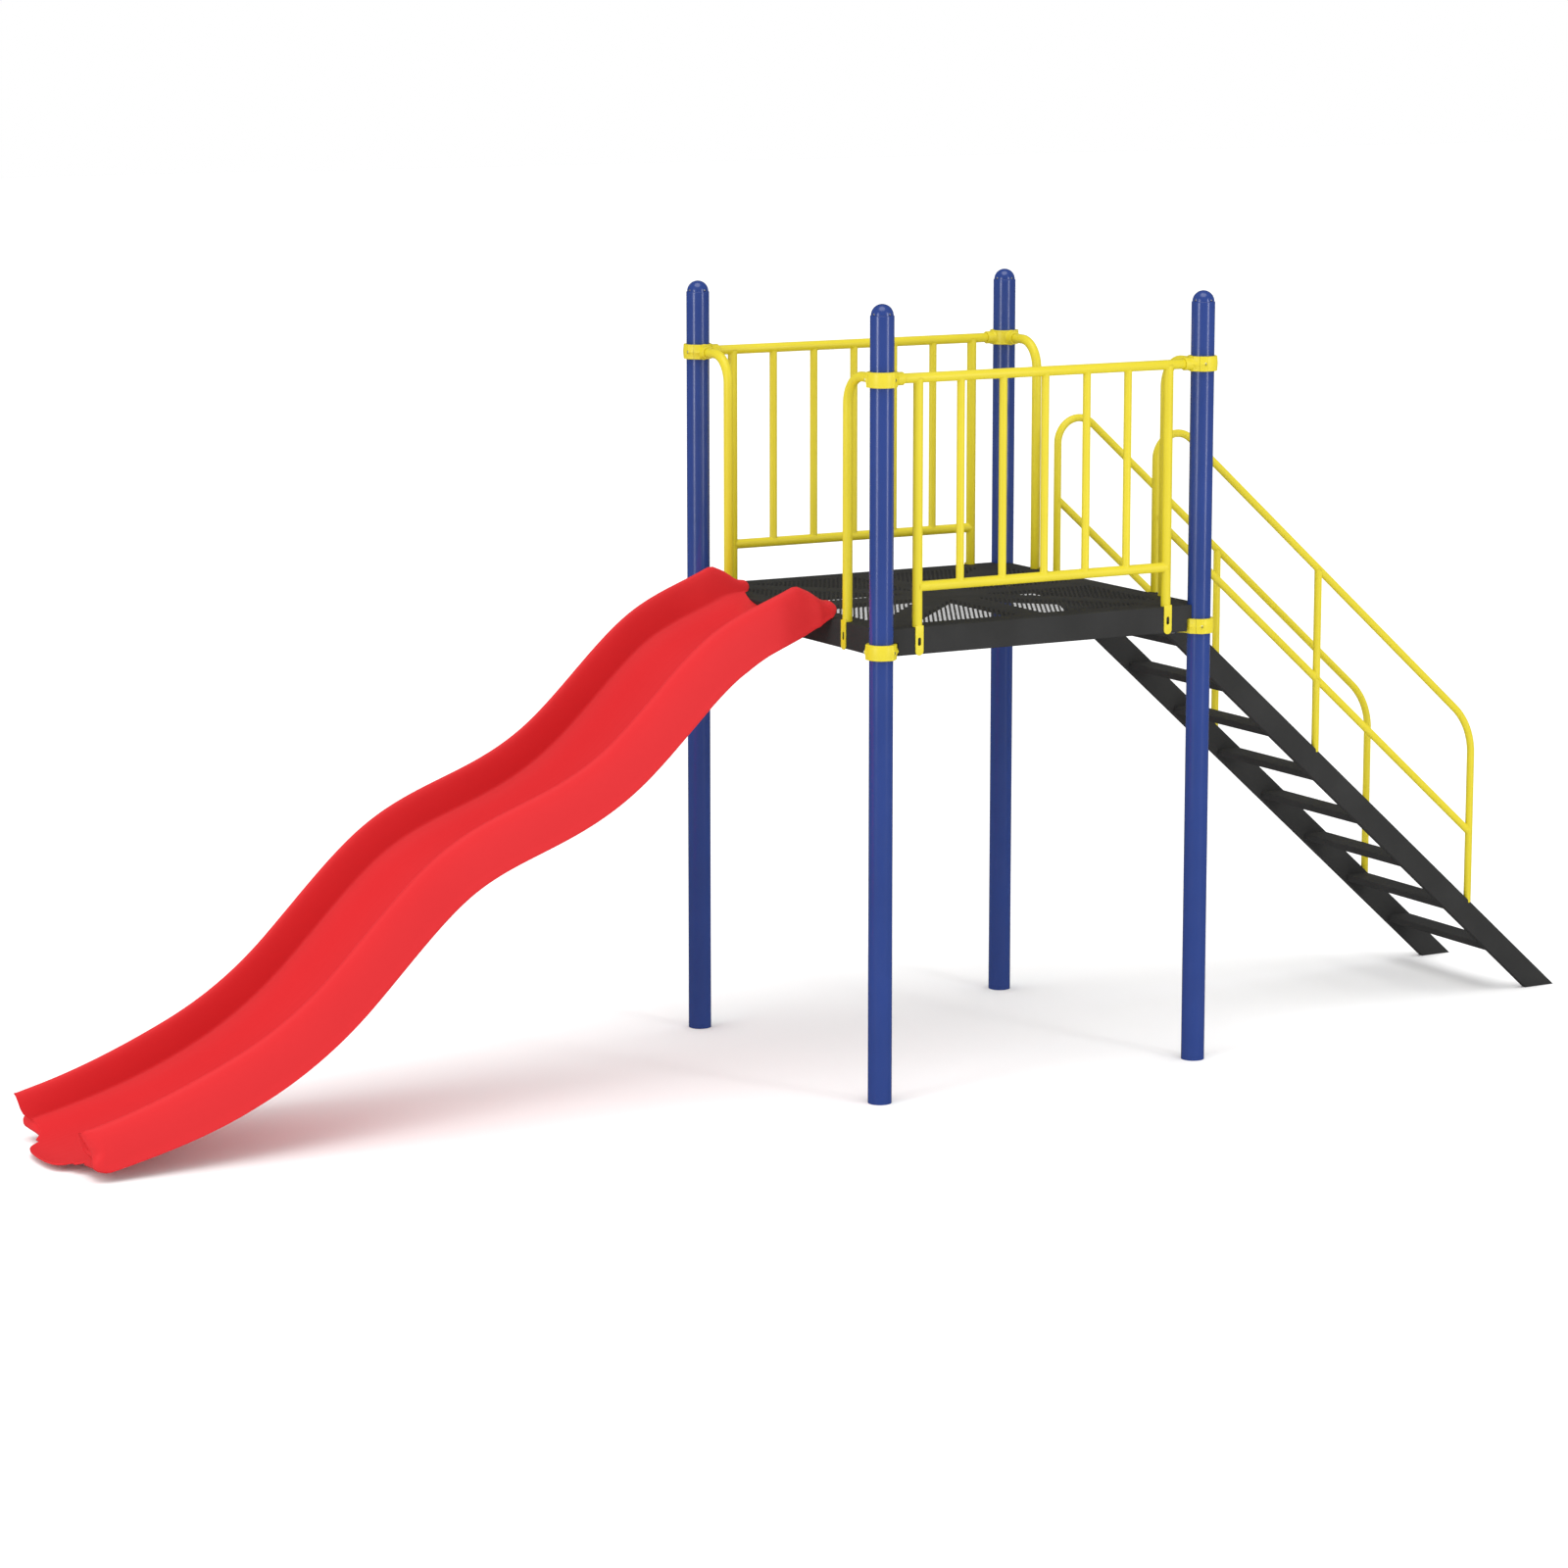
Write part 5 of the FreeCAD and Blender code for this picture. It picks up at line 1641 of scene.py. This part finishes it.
    def place(self, station: Points, key: Points, profile: Points) -> Points:
        """Points of the outer skin.

        Args:
            station: Crest-line x of every line and station.
            key: Profile key of every line.
            profile: (y, drop) of every line.
        Returns:
            Grid of lines x stations x 3.
        """
        crest_z, slope = self.crest_at(station)
        fade = np.clip((self.shallow_from - station) / self.shallow_run, 0, 1)
        depth = 1 - self.shrink * fade * fade * (3 - 2 * fade)
        saddle = np.array(self.saddle)
        top = np.interp(station, saddle[:, 0], saddle[:, 1], left=np.inf)
        cut = np.where(station > saddle[0, 0], np.maximum((crest_z - top) / np.cos(slope), 0), 0)
        wall_end = np.where(key > 2, self.flange_drop, self.crease_drop)[:, None]
        rim = np.interp(station, *np.array(self.rim_drop).T)
        drop = profile[:, 1:]
        wall = (key > 1)[:, None]
        squeezed = cut + (wall_end - cut) * drop / wall_end
        drop = np.where(wall, squeezed, drop + 0 * station)
        flange = (key > 2)[:, None]
        stretched = cut + (rim - cut) * np.clip(drop - cut, 0, None) / (self.flange_drop - cut)
        drop = np.where(flange, stretched, drop)
        x = station + drop * depth * np.sin(slope)
        z = crest_z - drop * depth * np.cos(slope)
        y = profile[:, :1] + 0 * station
        flare = self.flare * np.clip((key - self.flare_key) / (3 - self.flare_key), 0, 1)[:, None] ** 2
        return np.stack([x, y + flare, z], axis=-1)

    def skin(self) -> Points:
        """Outer skin of the right half, from the front end to the entry.

        Each line's first and last stations are moved until its end points lie on the stated end lines. Over
        the last stretch at the front the flange turns in by a quarter ellipse to close on the wall.

        Returns:
            Grid of lines x stations x 3.
        """
        key, profile = self.half_profile()
        front = np.array(self.front)
        entry = np.array(self.entry)
        front_x = np.interp(key, front[:, 0], front[:, 1])
        first = front_x.copy()
        last = np.full(len(key), self.deck_x)
        for _ in range(12):
            start = self.place(first[:, None], key, profile)[:, 0]
            end = self.place(last[:, None], key, profile)[:, 0]
            first = first + (front_x - start[:, 0])
            end_x = np.where(key > 1.0, np.interp(end[:, 2], entry[:, 0], entry[:, 1]), self.deck_x)
            last = last + (end_x - end[:, 0])
        stretch = self.front_run
        near = np.linspace(0, 1, 22) ** 1.6 * stretch
        dense = 1 - 0.045 * np.linspace(1, 0, 12)[1:] ** 1.3
        share = np.concatenate([np.linspace(0, 0.955, self.stations), dense])[1:]
        after = first[:, None] + stretch + (last - first - stretch)[:, None] * share
        station = np.hstack([first[:, None] + near, after])
        points = self.place(station, key, profile)
        ahead = points[:, :, 0] - points[:, :1, 0]
        length = np.interp(key, *np.array(self.turn_length).T)[:, None]
        turn = np.sqrt(np.clip(1 - np.clip(1 - ahead / length, 0, 1) ** 2, 0, 1))
        inner = np.interp(key, *np.array(self.turn_in).T)[:, None]
        points[:, :, 1] -= (key > 2)[:, None] * np.maximum(points[:, :, 1] - inner, 0) * (1 - turn)
        return points

    def rim(self, draft: Draft, outer: Points, inner: Points, inside: Points) -> None:
        """Half-round edge between the outer skin and the inner one.

        Args:
            draft: Draft to add to.
            outer: Edge of the outer skin.
            inner: Edge of the inner skin.
            inside: Next line of the outer skin, away from the edge.
        """
        push = outer - inside
        push /= np.maximum(np.linalg.norm(push, axis=1), 1e-9)[:, None]
        angle = np.linspace(0, math.pi, 7)[:, None, None]
        middle = (outer + inner) / 2
        radial = (outer - inner) / 2
        reach = self.rim_bulge * np.linalg.norm(radial, axis=1)[:, None]
        draft.grid(middle + np.cos(angle) * radial + np.sin(angle) * push * reach)

    def nose_cap(self, line: Points, key: Points) -> Points:
        """Closed front of a side: level lines from the flange's front edge to the wall at the same height.

        Args:
            line: Front end of the right half, from the middle of the bed to the rim.
            key: Profile key of every point.
        Returns:
            Grid of heights x 6 x 3.
        """
        flange = line[key >= 2]
        wall = line[(key <= 2) & (key >= self.cap_from)]
        height = np.maximum.accumulate(wall[:, 2])
        share = np.linspace(0, 1, 6)[None, :]
        end_x = np.interp(flange[:, 2], height, wall[:, 0])[:, None] + self.cap_back * share
        end_y = np.interp(flange[:, 2], height, wall[:, 1])[:, None] + self.cap_over
        x = flange[:, :1] * (1 - share) + end_x * share
        y = flange[:, 1:2] * (1 - share) + end_y * share
        return np.stack([x, y, np.repeat(flange[:, 2:], 6, 1)], axis=-1)

    def build(self) -> None:
        """Builds both halves of the skin, its inner side one shell thickness behind, rims and nose caps."""
        right = self.skin()
        left = right[:0:-1] * [1, -1, 1]
        skin = np.concatenate([left, right])
        along = np.gradient(skin, axis=1)
        across = np.gradient(skin, axis=0)
        normal = np.cross(along, across)
        normal /= np.maximum(np.linalg.norm(normal, axis=2), 1e-9)[..., None]
        if normal[len(left), 40, 2] < 0:
            normal = -normal
        key = self.half_profile()[0]
        upright = np.interp(np.concatenate([key[:0:-1], key]), self.upright_keys, [0.0, 1.0])[:, None]
        ahead = skin[:, :, 0] - skin[:, :1, 0]
        full = np.clip(ahead / self.nose, 0, 1) ** self.thickening
        depth = self.shell + upright * (self.thin - self.shell) * (1 - full)
        back = skin - normal * depth[..., None]
        draft = Draft()
        draft.grid(skin)
        draft.grid(back)
        inner = np.abs(np.arange(len(skin)) - len(left)) < np.count_nonzero(key <= 2)
        self.rim(draft, skin[inner, 0], back[inner, 0], skin[inner, 1])
        self.rim(draft, skin[:, -1], back[:, -1], skin[:, -2])
        self.rim(draft, skin[0], back[0], skin[1])
        self.rim(draft, skin[-1], back[-1], skin[-2])
        cap = self.nose_cap(right[:, 0], key)
        draft.grid(cap)
        draft.grid(cap * [1, -1, 1])
        draft.piece("chute_shell", Slot.SLIDE, ["slide"])


# ---------------------------------------------------------------- stage
@dataclass
class Stage:
    """Plain pale floor, white surround, soft lamps and the camera."""

    lens: float = 104.444
    place: tuple[float, float, float] = (-7.7677, -12.6924, 3.5742)
    heading: float = -0.5141
    tilt: float = 0.1599
    shift: tuple[float, float] = (-0.0018, -0.05625)
    surround: float = 1.0
    reflected: float = 0.12
    floor_reach: float = 60.0
    target: Triple = (-0.4, 0.0, 1.2)

    def floor(self) -> None:
        """Large floor just under the feet."""
        mesh = bpy.data.meshes.new("floor")
        reach = self.floor_reach
        corners = [(-reach, -reach, 0), (reach, -reach, 0), (reach, reach, 0), (-reach, reach, 0)]
        mesh.from_pydata(corners, [], [(0, 1, 2, 3)])
        material, tree, shader = shader_material("pale_floor")
        tone = object_noise(tree, 0.4, 2.0)
        colour = ramp(tree, tone.outputs["Fac"], (0.3, (0.93, 0.93, 0.93)), (0.7, (0.95, 0.95, 0.95)))
        tree.links.new(colour.outputs["Color"], shader.inputs["Base Color"])
        shader.inputs["Roughness"].default_value = 0.9
        shader.inputs["Specular IOR Level"].default_value = 0.1
        mesh.materials.append(material)
        floor = bpy.data.objects.new("floor", mesh)
        bpy.context.scene.collection.objects.link(floor)
        floor.visible_glossy = False

    def lamp(self, name: str, turn: float, climb: float, distance: float,
             size: tuple[float, float], power: float) -> None:
        """Rectangular soft lamp aimed at the middle of the object.

        Args:
            name: Lamp name.
            turn: Degrees to the right of the camera, seen from above.
            climb: Degrees above the horizon.
            distance: Metres from the target.
            size: Width and height in metres.
            power: Watts.
        """
        data = bpy.data.lights.new(name, "AREA")
        data.shape = "RECTANGLE"
        data.size, data.size_y = size
        data.energy = power
        item = bpy.data.objects.new(name, data)
        bearing = self.heading - math.pi / 2 + math.radians(turn)
        height = math.radians(climb)
        flat = math.cos(height) * distance
        offset = np.array([flat * math.cos(bearing), flat * math.sin(bearing), math.sin(height) * distance])
        item.location = np.array(self.target) + offset
        item.rotation_euler = (math.pi / 2 - height, 0, bearing + math.pi / 2)
        bpy.context.scene.collection.objects.link(item)

    def light(self) -> None:
        """White surround that reflections see dimmed, two strip lamps and a broad soft sun overhead."""
        scene = bpy.context.scene
        world = bpy.data.worlds.new("white_surround")
        world.use_nodes = True
        tree = world.node_tree
        tree.nodes["Background"].inputs["Color"].default_value = (1, 1, 1, 1)
        rays = tree.nodes.new("ShaderNodeLightPath")
        level = value_range(tree, rays.outputs["Is Glossy Ray"], self.surround, self.reflected)
        tree.links.new(level.outputs["Result"], tree.nodes["Background"].inputs["Strength"])
        scene.world = world
        self.lamp("right_strip_lamp", 52, 14, 8.0, (0.9, 5.0), 100)
        self.lamp("left_strip_lamp", -42, 12, 9.0, (1.6, 5.0), 150)
        sun = bpy.data.lights.new("overhead_sun", "SUN")
        sun.energy = 1.1
        sun.angle = math.radians(50)
        item = bpy.data.objects.new("overhead_sun", sun)
        item.rotation_euler = (math.radians(12), math.radians(-10), 0)
        scene.collection.objects.link(item)

    def camera(self) -> None:
        """Camera at the viewing angle."""
        data = bpy.data.cameras.new("camera")
        data.lens = self.lens
        data.sensor_width = 36.0
        data.shift_x, data.shift_y = self.shift
        data.clip_end = 200.0
        camera = bpy.data.objects.new("camera", data)
        camera.location = self.place
        camera.rotation_euler = (math.pi / 2 - self.tilt, 0, self.heading)
        bpy.context.scene.collection.objects.link(camera)
        bpy.context.scene.camera = camera

    def build(self) -> None:
        """Builds the floor, the light and the camera."""
        bpy.context.scene.view_settings.view_transform = "Standard"
        self.floor()
        self.light()
        self.camera()


# CAD nodes whose shape is right as it is: they only get their finish.
KEPT_NODES = {
    "deck_ribs": Slot.DECK,
    "deck_seats": Slot.DECK,
    "handrail_spigots": Slot.DECK,
    "foot_plates": Slot.STEEL,
    "tab_studs": Slot.BLACK,
    "tab_nuts": Slot.BLACK,
    "deck_bolts": Slot.STEEL,
    "deck_nuts": Slot.STEEL,
}


def dress_kept_nodes() -> None:
    """Gives every CAD node that stays its finish."""
    for name, slot in KEPT_NODES.items():
        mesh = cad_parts[name].data
        mesh.materials.clear()
        mesh.materials.append(finish_of(slot))
        log.info("%s: kept, dressed in %s", name, slot.value)


def main() -> None:
    """Builds every sub-assembly round the frame."""
    logging.basicConfig(level=logging.INFO, format="%(message)s")
    Stage().build()
    for corner in Corner:
        Post(corner).build()
        for level in Level:
            Clamp(corner, level).build()
    CapRivets().build()
    ClampScrews().build()
    deck_top = Deck().build()
    top_z = Clamp(Corner.SLIDE_LEFT, Level.TOP).centre()[2]
    for side in Side:
        Guard(side).build(deck_top, top_z)
    for corner in Corner:
        Hoop(corner).build(deck_top, top_z)
    stairs = Stairs()
    stairs.build(deck_top)
    for side in Side:
        Handrail(side).build(stairs, deck_top)
    Chute().build()
    dress_kept_nodes()


if __name__ == "__main__":
    main()
